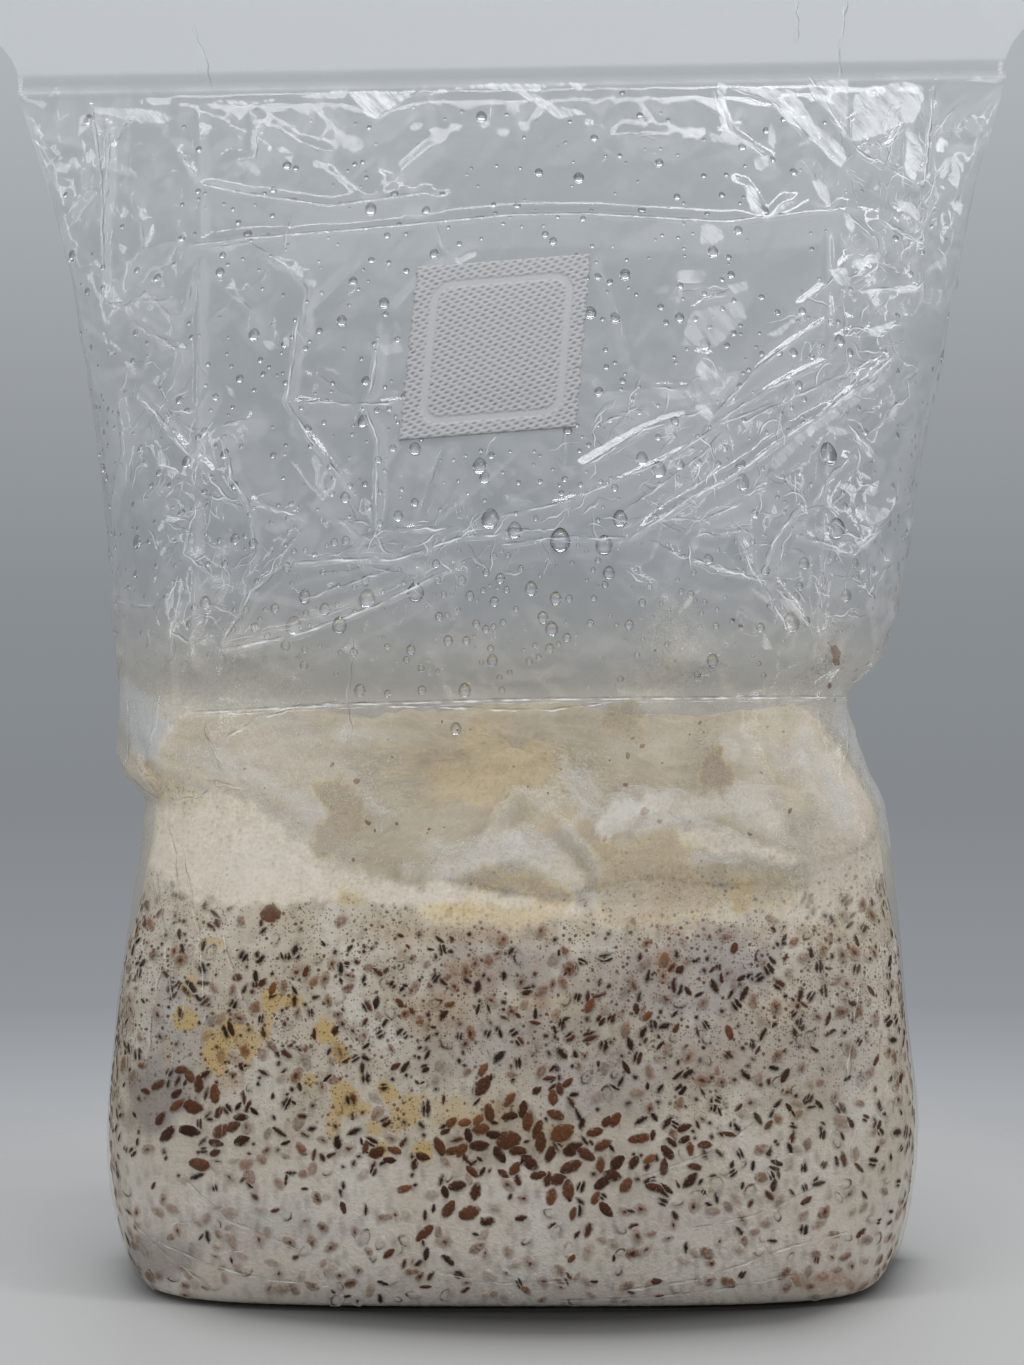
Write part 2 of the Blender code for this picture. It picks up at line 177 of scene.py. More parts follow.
w_round = w_look.ramp(w_rise.outputs["Result"], [
    (0.00, (0.34, 0.34, 0.345)), (0.38, (0.22, 0.23, 0.24)), (0.60, (0.26, 0.275, 0.29)),
    (0.74, (0.36, 0.38, 0.40)), (0.80, (0.60, 0.62, 0.65)), (1.00, (0.66, 0.68, 0.71))])
w_path = w_look.node("LightPath")
w_seen = w_look.math("MAXIMUM", w_path.outputs["Is Camera Ray"], w_path.outputs["Is Transmission Ray"])
w_light = w_look.node("Background", Strength=1.0, Color=w_look.blend(w_seen, w_round, w_sky))
w_look.surface(w_light)


# Each light is a rectangle aimed at the middle of the bag: place, width, height, power and colour.
MIDDLE = Vector((0.0, 0.0, 0.2))
for name, place, width, height, power, colour in (
        ("light_top", (0.05, -0.34, 1.15), 0.85, 0.15, 5.0, (1.0, 0.99, 0.98)),
        ("light_left", (-0.95, -0.60, 0.65), 0.14, 0.80, 2.0, (0.95, 0.98, 1.0)),
        ("light_right", (0.95, -0.50, 0.70), 0.14, 0.80, 2.9, (0.97, 0.98, 1.0)),
        ("light_left_front", (-0.55, -1.20, 0.55), 0.07, 0.80, 0.9, (0.97, 0.98, 1.0)),
        ("light_right_front", (0.50, -1.25, 0.60), 0.07, 0.80, 1.1, (0.97, 0.98, 1.0)),
        ("light_back", (0.0, 0.95, 0.90), 0.90, 0.12, 2.1, (0.95, 0.98, 1.0))):
    light = bpy.data.lights.new(name, "AREA")
    light.shape = "RECTANGLE"
    light.size, light.size_y = width, height
    light.energy, light.color = power, colour
    lamp = bpy.data.objects.new(name, light)
    scene.collection.objects.link(lamp)
    lamp.location = place
    lamp.rotation_euler = (MIDDLE - Vector(place)).to_track_quat("-Z", "Y").to_euler()

table_white, t_look = new_material("table_white")
t_place = t_look.node("TexCoord").outputs["Object"]
t_far = t_look.node("VectorMath", t_place, operation="LENGTH")
t_fade = t_look.node("MapRange", interpolation_type="SMOOTHSTEP", From_Min=0.20, From_Max=0.32,
                     Value=t_far.outputs["Value"])
# Painted shadow: the table is coloured darker round the base, furthest in front of its middle, where the base keeps
# the light off it.
t_split = t_look.node("SeparateXYZ", t_place)
t_across = t_look.minus(t_split.outputs["X"], 0.010)
t_bow = t_look.times(t_look.times(t_across, t_across), 3.0)
t_past = t_look.math("MAXIMUM", t_look.minus(t_look.math("ABSOLUTE", t_split.outputs["X"]), 0.070), 0.0)
t_beside = t_look.times(t_past, t_past)
t_clear = t_look.minus(t_look.math("ABSOLUTE", t_split.outputs["Y"]), 0.057)
t_clear = t_look.plus(t_look.plus(t_clear, t_bow), t_look.times(t_beside, 22.0))
PAINTED_SHADOW_STOPS = ((0.0, 0.02), (0.12, 0.04), (0.20, 0.12), (0.33, 0.26),
               (0.48, 0.62), (0.64, 0.82), (0.82, 0.95), (1.0, 1.0))
t_painted_shadow = t_look.ramp(t_look.times(t_clear, 16.0), [
    (place, tuple(share * grey for grey in TABLE_GREY)) for place, share in PAINTED_SHADOW_STOPS])
t_matt = t_look.node("BsdfPrincipled", Roughness=0.6, Base_Color=t_painted_shadow)
t_gone = t_look.node("BsdfTransparent")
t_mix = t_look.node("MixShader", t_fade.outputs["Result"], t_matt, t_gone)
t_look.surface(t_mix)
TABLE_RADIUS, TABLE_Z, TABLE_SIDES = 340.0, -0.2, 96
table_ring = np.linspace(0.0, 2.0 * math.pi, TABLE_SIDES, endpoint=False)
table_points = [(TABLE_RADIUS * math.cos(a), TABLE_RADIUS * math.sin(a), TABLE_Z) for a in table_ring]
table_points.append((0.0, 0.0, TABLE_Z))
table_faces = [(TABLE_SIDES, i, (i + 1) % TABLE_SIDES) for i in range(TABLE_SIDES)]
table_top = new_mesh("table_top", table_points, table_faces, table_white)


# Bag film: one length of clear polypropylene tube with a gusset tucked in each side, heat sealed
# across near the top, crumpled by handling, tight round the block and slack above it.
ROW_HEIGHTS = (0.0, 45.0, 78.5, 112.0, 139.0, 147.85, 158.175, 168.5, 181.55, 212.0,
               251.2, 282.0, 317.0, 346.4, 352.0, 356.8, 378.49, 405.0)
LEFT = (113.5, 118.5, 115.5, 110.0, 106.2, 115.0, 116.5, 116.5, 117.7, 119.5,
        125.58, 131.48, 138.56, 146.525, 148.0, 148.0, 162.0, 165.0)
RIGHT = (112.5, 118.5, 115.0, 111.5, 107.2, 103.2, 99.7, 97.7, 109.0, 117.5,
         125.58, 131.48, 138.56, 146.525, 148.0, 148.0, 162.0, 165.0)
FRONT = (60.0, 61.0, 60.0, 56.0, 52.0, 50.0, 48.0, 46.0, 49.0, 49.0,
         39.32, 29.64, 15.604, 3.504, 0.6, 0.6, 1.84, 2.3)
BACK = (60.0, 61.0, 60.5, 59.0, 56.0, 54.0, 51.0, 49.0, 49.0, 49.0,
        39.32, 29.64, 15.604, 3.504, 0.6, 0.6, 1.84, 2.3)
SQUARE = (1.0, 1.0, 1.0, 1.0, 0.9, 0.85, 0.8, 0.75, 0.65, 0.5,
          0.288, 0.2, 0.1, 0.016, 0.2, 0.2, 0.2, 0.2)
FOOT_RISE, FOOT_INSET_SIDE, FOOT_INSET_FACE = 20.0, 8.0, 3.5
RUN = 12                    # straight runs between two points of an outline
PANEL, GUSSET = 203.0, 127.0
GIRTH = 2.0 * (PANEL + GUSSET)
HEAD_Z, SEAL_Z, SEAL_TOP, BAG_Z = 212.0, 352.0, 356.8, 405.0


def unit(value):
    """A number, or each number of an array, kept between 0 and 1."""
    return np.clip(value, 0.0, 1.0)


def step_of(steps, value):
    """Which step of a rising list each value lies in."""
    return np.clip(np.searchsorted(steps, value, side="right") - 1, 0, len(steps) - 2)


def through_rows(values, z):
    """A curve through one list of the rows that never swings past them."""
    heights, values = np.array(ROW_HEIGHTS), np.array(values)
    runs = np.diff(heights)
    falls = np.diff(values) / runs
    inner = np.zeros(len(falls) - 1)
    same = falls[:-1] * falls[1:] > 0.0
    inner[same] = 2.0 * falls[:-1][same] * falls[1:][same] / (falls[:-1][same] + falls[1:][same])
    slope = np.concatenate([falls[:1], inner, falls[-1:]])
    z = np.clip(z, heights[0], heights[-1])
    i = step_of(heights, z)
    t = (z - heights[i]) / runs[i]
    return (values[i] * (2 * t ** 3 - 3 * t ** 2 + 1) + slope[i] * runs[i] * (t ** 3 - 2 * t ** 2 + t)
            + values[i + 1] * (3 * t ** 2 - 2 * t ** 3) + slope[i + 1] * runs[i] * (t ** 3 - t ** 2))


def outlines(z, inset):
    """The bag seen from above at the heights z, each a ring of points from the middle of the front."""
    z = np.atleast_1d(np.asarray(z, float))
    left, right, front, back, square = (through_rows(v, z) for v in (LEFT, RIGHT, FRONT, BACK, SQUARE))
    square = square * (1.0 - 0.5 * unit(1.0 - z / 42.0) ** 1.5)
    sunk = unit(1.0 - z / FOOT_RISE)
    foot = 1.0 - np.sqrt(1.0 - sunk ** 2)
    side, face = inset + FOOT_INSET_SIDE * foot, inset + FOOT_INSET_FACE * foot
    left, right, front, back = left - side, right - side, front - face, back - face
    corner_l, corner_r = np.minimum(PANEL / 2.0, left - 6.0), np.minimum(PANEL / 2.0, right - 6.0)
    y_front, y_back = -front * (0.12 + 0.5 * square), back * (0.12 + 0.5 * square)
    zero = np.zeros_like(z)
    ring = np.array([(zero, -front), (corner_r, -front), (right, y_front), (right, y_back), (corner_r, back),
                     (zero, back), (-corner_l, back), (-left, y_back), (-left, y_front), (-corner_l, -front)])
    t = np.arange(RUN) / RUN
    weights = np.array([(1 - t) ** 3, 3 * t ** 3 - 6 * t ** 2 + 4, -3 * t ** 3 + 3 * t ** 2 + 3 * t + 1,
                        t ** 3]) / 6.0
    near = np.array([np.roll(ring, -k, axis=0) for k in (-1, 0, 1, 2)])
    points = np.einsum("ks,kicz->zisc", weights, near).reshape(len(z), 10 * RUN, 2)
    x, y = points[..., 0], points[..., 1]
    fit_x = np.where(x > 0.0, (right / x.max(1))[:, None], (left / -x.min(1))[:, None])
    fit_y = np.where(y > 0.0, (back / y.max(1))[:, None], (front / -y.min(1))[:, None])
    return np.stack([x * fit_x, y * fit_y], axis=-1)


def wall(z, u, inset):
    """Points of the bag's wall: one row for each height z, one column for each place u along the girth,
    counted from the middle of the front, positive to the right, as on the flat tube."""
    rows = outlines(z, inset)
    rows = np.concatenate([rows, rows[:, :1]], axis=1)
    half = PANEL / 2
    runs = ((-half, PANEL, [*range(9 * RUN, 10 * RUN), *range(RUN + 1)]),
            (half, GUSSET, range(RUN, 4 * RUN + 1)),
            (half + GUSSET, PANEL, range(4 * RUN, 6 * RUN + 1)),
            (-half - GUSSET, GUSSET, range(6 * RUN, 9 * RUN + 1)))
    u = (np.asarray(u, float) + half + GUSSET) % GIRTH - half - GUSSET
    found = np.zeros((len(rows), len(u), 2))
    for start, length, index in runs:
        share = (u - start) / length
        here = (share >= 0.0) & (share <= 1.0)
        for r, row in enumerate(rows):
            line = row[list(index)]
            along = np.concatenate([[0.0], np.cumsum(np.hypot(*np.diff(line, axis=0).T))])
            for axis in (0, 1):
                found[r, here, axis] = np.interp(share[here] * along[-1], along, line[:, axis])
    return found


def tilt(x, z):
    """How far the seal and the film above it have risen, from left to right."""
    start = (HEAD_Z + SEAL_Z) / 2.0
    return 5.0 * unit((z - start) / (SEAL_Z - start)) * x / 296.0


def wall_grid(z, u, inset):
    """The wall's points in three dimensions."""
    flat = wall(z, u, inset)
    height = np.broadcast_to(np.asarray(z, float)[:, None], flat.shape[:2])
    return np.dstack([flat, height + tilt(flat[..., 0], height)])


def one_long(ways):
    """Directions, each made one unit long."""
    return ways / np.maximum(np.linalg.norm(ways, axis=-1, keepdims=True), 1e-9)


def grid_normals(grid):
    """Directions out of a grid of points whose columns run anticlockwise and rows upward."""
    return one_long(np.cross(np.gradient(grid, axis=1), np.gradient(grid, axis=0)))


# The crumple is worked out on the flat tube, as heights over a fine grid of places (u, z).
CELL = 0.6
U_CELLS, Z_CELLS = int(GIRTH / CELL), int(BAG_Z / CELL) + 2
cell_u = np.arange(U_CELLS) * CELL - GIRTH / 2.0
cell_z = np.arange(Z_CELLS) * CELL
grid_u, grid_z = np.meshgrid(cell_u, cell_z)


def facets(spacing, seed, stretch=1.0, level=False):
    """Heights of a sheet crumpled into flat facets of about one size, between -1 and 1. With level, each
    facet has one value of its own."""
    pick = np.random.default_rng(seed)
    columns, rows = int(GIRTH / (spacing * stretch)), int(BAG_Z / spacing) + 3
    step_u, step_z = GIRTH / columns, spacing
    u = (np.arange(columns)[None, :] + pick.uniform(-0.42, 0.42, (rows, columns))) * step_u
    u += (np.arange(rows)[:, None] % 2) * step_u / 2.0
    z = (np.arange(rows)[:, None] - 1 + pick.uniform(-0.42, 0.42, (rows, columns))) * step_z
    height = pick.uniform(-1.0, 1.0, (rows, columns))
    turned = pick.random((rows, columns)) < 0.5
    field = np.zeros((Z_CELLS, U_CELLS))
    for r in range(rows - 1):
        for c in range(columns):
            d = (c + 1) % columns
            wrap = GIRTH if d == 0 else 0.0
            corners = [(u[r, c], z[r, c], height[r, c]), (u[r, d] + wrap, z[r, d], height[r, d]),
                       (u[r + 1, d] + wrap, z[r + 1, d], height[r + 1, d]),
                       (u[r + 1, c], z[r + 1, c], height[r + 1, c])]
            order = ((0, 1, 2), (0, 2, 3)) if turned[r, c] else ((0, 1, 3), (1, 2, 3))
            for triple in order:
                shape = [corners[k] for k in triple]
                if level:
                    shape = [(*corner[:2], shape[0][2]) for corner in shape]
                fill_facet(field, shape)
    return field


def eased(share):
    """A share between 0 and 1 that sets off and arrives softly."""
    return share * share * (3.0 - 2.0 * share)


def between(grid, i, j, k, fz, fu):
    """Values between four places of a grid: rows i and i + 1, columns j and k, at shares of the way."""
    low, high = (grid[row, j] * (1.0 - fu) + grid[row, k] * fu for row in (i, i + 1))
    return low * (1.0 - fz) + high * fz


def cloudy(spacing, seed):
    """Soft uneven noise over the flat tube, between 0 and 1."""
    dice = np.random.default_rng(seed)
    total, weights = np.zeros((Z_CELLS, U_CELLS)), 0.0
    for octave in range(4):
        columns, rows = int(GIRTH / spacing * 2 ** octave), int(BAG_Z / spacing * 2 ** octave) + 3
        dots = dice.random((rows, columns))
        cu, cz = (grid_u + GIRTH / 2.0) / GIRTH * columns, grid_z / BAG_Z * (rows - 3)
        i, j = np.clip(np.floor(cz).astype(int), 0, rows - 2), np.floor(cu).astype(int)
        fz, fu = eased(unit(cz - i)), eased(cu - j)
        total += 0.6 ** octave * between(dots, i, j % columns, (j + 1) % columns, fz, fu)
        weights += 0.6 ** octave
    return total / weights


def fill_facet(field, corners):
    """One flat facet drawn into the field; the facet may reach round past the seam of the tube."""
    (u0, z0, h0), (u1, z1, h1), (u2, z2, h2) = corners
    area = (u1 - u0) * (z2 - z0) - (u2 - u0) * (z1 - z0)
    if abs(area) < 1e-9:
        return
    r0, r1 = max(int(math.ceil(min(z0, z1, z2) / CELL)), 0), min(int(max(z0, z1, z2) / CELL), Z_CELLS - 1)
    c0, c1 = int(math.ceil(min(u0, u1, u2) / CELL)), int(max(u0, u1, u2) / CELL)
    if r1 < r0 or c1 < c0:
        return
    zs, us = np.arange(r0, r1 + 1)[:, None] * CELL, np.arange(c0, c1 + 1)[None, :] * CELL
    b = ((us - u0) * (z2 - z0) - (u2 - u0) * (zs - z0)) / area
    c = ((u1 - u0) * (zs - z0) - (us - u0) * (z1 - z0)) / area
    inside = (b >= -1e-6) & (c >= -1e-6) & (b + c <= 1.0 + 1e-6)
    rows, columns = np.nonzero(inside)
    field[rows + r0, (columns + c0) % U_CELLS] = (h0 + b * (h1 - h0) + c * (h2 - h0))[inside]


def short_round(run):
    """A distance along the girth, taken the shorter way round."""
    return (run + GIRTH / 2.0) % GIRTH - GIRTH / 2.0


def spots(places):
    """Soft round areas over the flat tube, from (u, z, half width, half height, weight); the strongest counts."""
    total = np.zeros((Z_CELLS, U_CELLS))
    for u, z, wide, high, weight in places:
        away = (short_round(grid_u - u) / wide) ** 2 + ((grid_z - z) / high) ** 2
        total = np.maximum(total, weight * np.exp(-away))
    return total


def crease(field, line, height, width, back_width=None):
    """A fold along a line of (u, z) places: a sharp ridge that falls away over a width on each side."""
    back_width = back_width or width
    reach = max(width, back_width)
    for (ua, za), (ub, zb) in zip(line, line[1:]):
        c0, c1 = int((min(ua, ub) - reach + GIRTH / 2) / CELL), int((max(ua, ub) + reach + GIRTH / 2) / CELL) + 1
        r0, r1 = max(int((min(za, zb) - reach) / CELL), 0), min(int((max(za, zb) + reach) / CELL) + 1, Z_CELLS - 1)
        c0, c1 = max(c0, 0), min(c1, U_CELLS - 1)
        us, zs = grid_u[r0:r1, c0:c1], grid_z[r0:r1, c0:c1]
        long_u, long_z = ub - ua, zb - za
        length = max(math.hypot(long_u, long_z), 1e-6)
        along = ((us - ua) * long_u + (zs - za) * long_z) / length ** 2
        held = unit(along)
        near_u, near_z = us - (ua + held * long_u), zs - (za + held * long_z)
        away = np.hypot(near_u, near_z)
        side = (long_u * (zs - za) - long_z * (us - ua)) > 0.0
        rise = height * unit(1.0 - away / np.where(side, width, back_width))
        part = field[r0:r1, c0:c1]
        np.copyto(part, np.where(np.abs(rise) > np.abs(part), rise, part))


FRONT_U = np.linspace(-140.0, 140.0, 281)
FRONT_Z = np.linspace(0.0, BAG_Z, 136)
FRONT_X = wall(FRONT_Z, FRONT_U, 0.0)[..., 0]


def to_u(x, z):
    """The place along the girth that lies at x on the front of the bag at a height."""
    row = min(int(round(z / 3.0)), len(FRONT_Z) - 1)
    order = FRONT_X[row]
    inner = slice(int(np.argmin(order)), int(np.argmax(order)) + 1)
    return float(np.interp(x, order[inner], FRONT_U[inner]))


def on_front(line):
    """The places (u, z) of points (x, z) seen from the front."""
    return [(to_u(x, z), z) for x, z in line]


def bent_line(u, z, run, turn, bend):
    """A line of two equal runs from (u, z), with a bend between them."""
    middle_u, middle_z = u + run * math.cos(turn), z + run * math.sin(turn)
    return [(u, z), (middle_u, middle_z), (middle_u + run * math.cos(turn + bend),
                                           middle_z + run * math.sin(turn + bend))]


def front_spots(places):
    """Soft areas from (x, z, half width, half height, weight) seen from the front."""
    return spots([(to_u(x, z), z, *rest) for x, z, *rest in places])


def sample(field, u, z):
    """Heights from a field at places (u, z)."""
    cu = ((np.asarray(u) + GIRTH / 2.0) / CELL) % U_CELLS
    cz = np.clip(np.asarray(z) / CELL, 0.0, Z_CELLS - 1.001)
    i, j = np.floor(cz).astype(int), np.floor(cu).astype(int)
    return between(field, i, j % U_CELLS, (j + 1) % U_CELLS, cz - i, cu - j)


# Where the film is crumpled hard: (x, z, half width, half height, weight) seen from the front.
HARD = [
    (124, 318, 30, 34, 1), (100, 340, 40, 14, 0.9), (104, 262, 24, 40, 0.75), (80, 232, 34, 24, 0.6),
    (104, 205, 24, 30, 0.6), (-118, 315, 18, 45, 0.75), (-108, 250, 20, 40, 0.75), (-104, 205, 24, 30, 0.7),
    (-84, 226, 26, 20, 0.55), (-60, 205, 30, 16, 0.5), (-80, 335, 46, 14, 0.6), (-112, 165, 18, 24, 0.8),
    (103, 150, 14, 24, 0.65), (60, 212, 40, 16, 0.5), (-20, 232, 40, 18, 0.4), (40, 330, 30, 16, 0.35),
    (-40, 270, 30, 20, 0.3), (40, 262, 36, 24, 0.35), (-70, 290, 30, 26, 0.35)]
hard = np.maximum(front_spots(HARD), 0.5 * (np.abs(grid_u) > PANEL / 2.0 + 8.0))
hard = np.maximum(hard, 0.10)
# The patch keeps the film under it flat, the seal and the film above it are smooth, the block fills it out.
PATCH_X, PATCH_Z = -4.6, 268.8
calm = 1.0 - front_spots([(PATCH_X, PATCH_Z, 30.0, 31.0, 0.97)])
calm *= unit((SEAL_Z - 1.0 - grid_z) / 16.0)
calm *= 0.16 + 0.84 * unit((grid_z - 112.0) / 36.0)

crumple = (2.3 * facets(34.0, 11, 1.25) + 1.0 * facets(15.0, 12) + 0.42 * facets(7.0, 13, 0.8)) * hard * calm
crumple += 0.16 * facets(4.2, 14) * np.maximum(hard - 0.15, 0.0) * calm
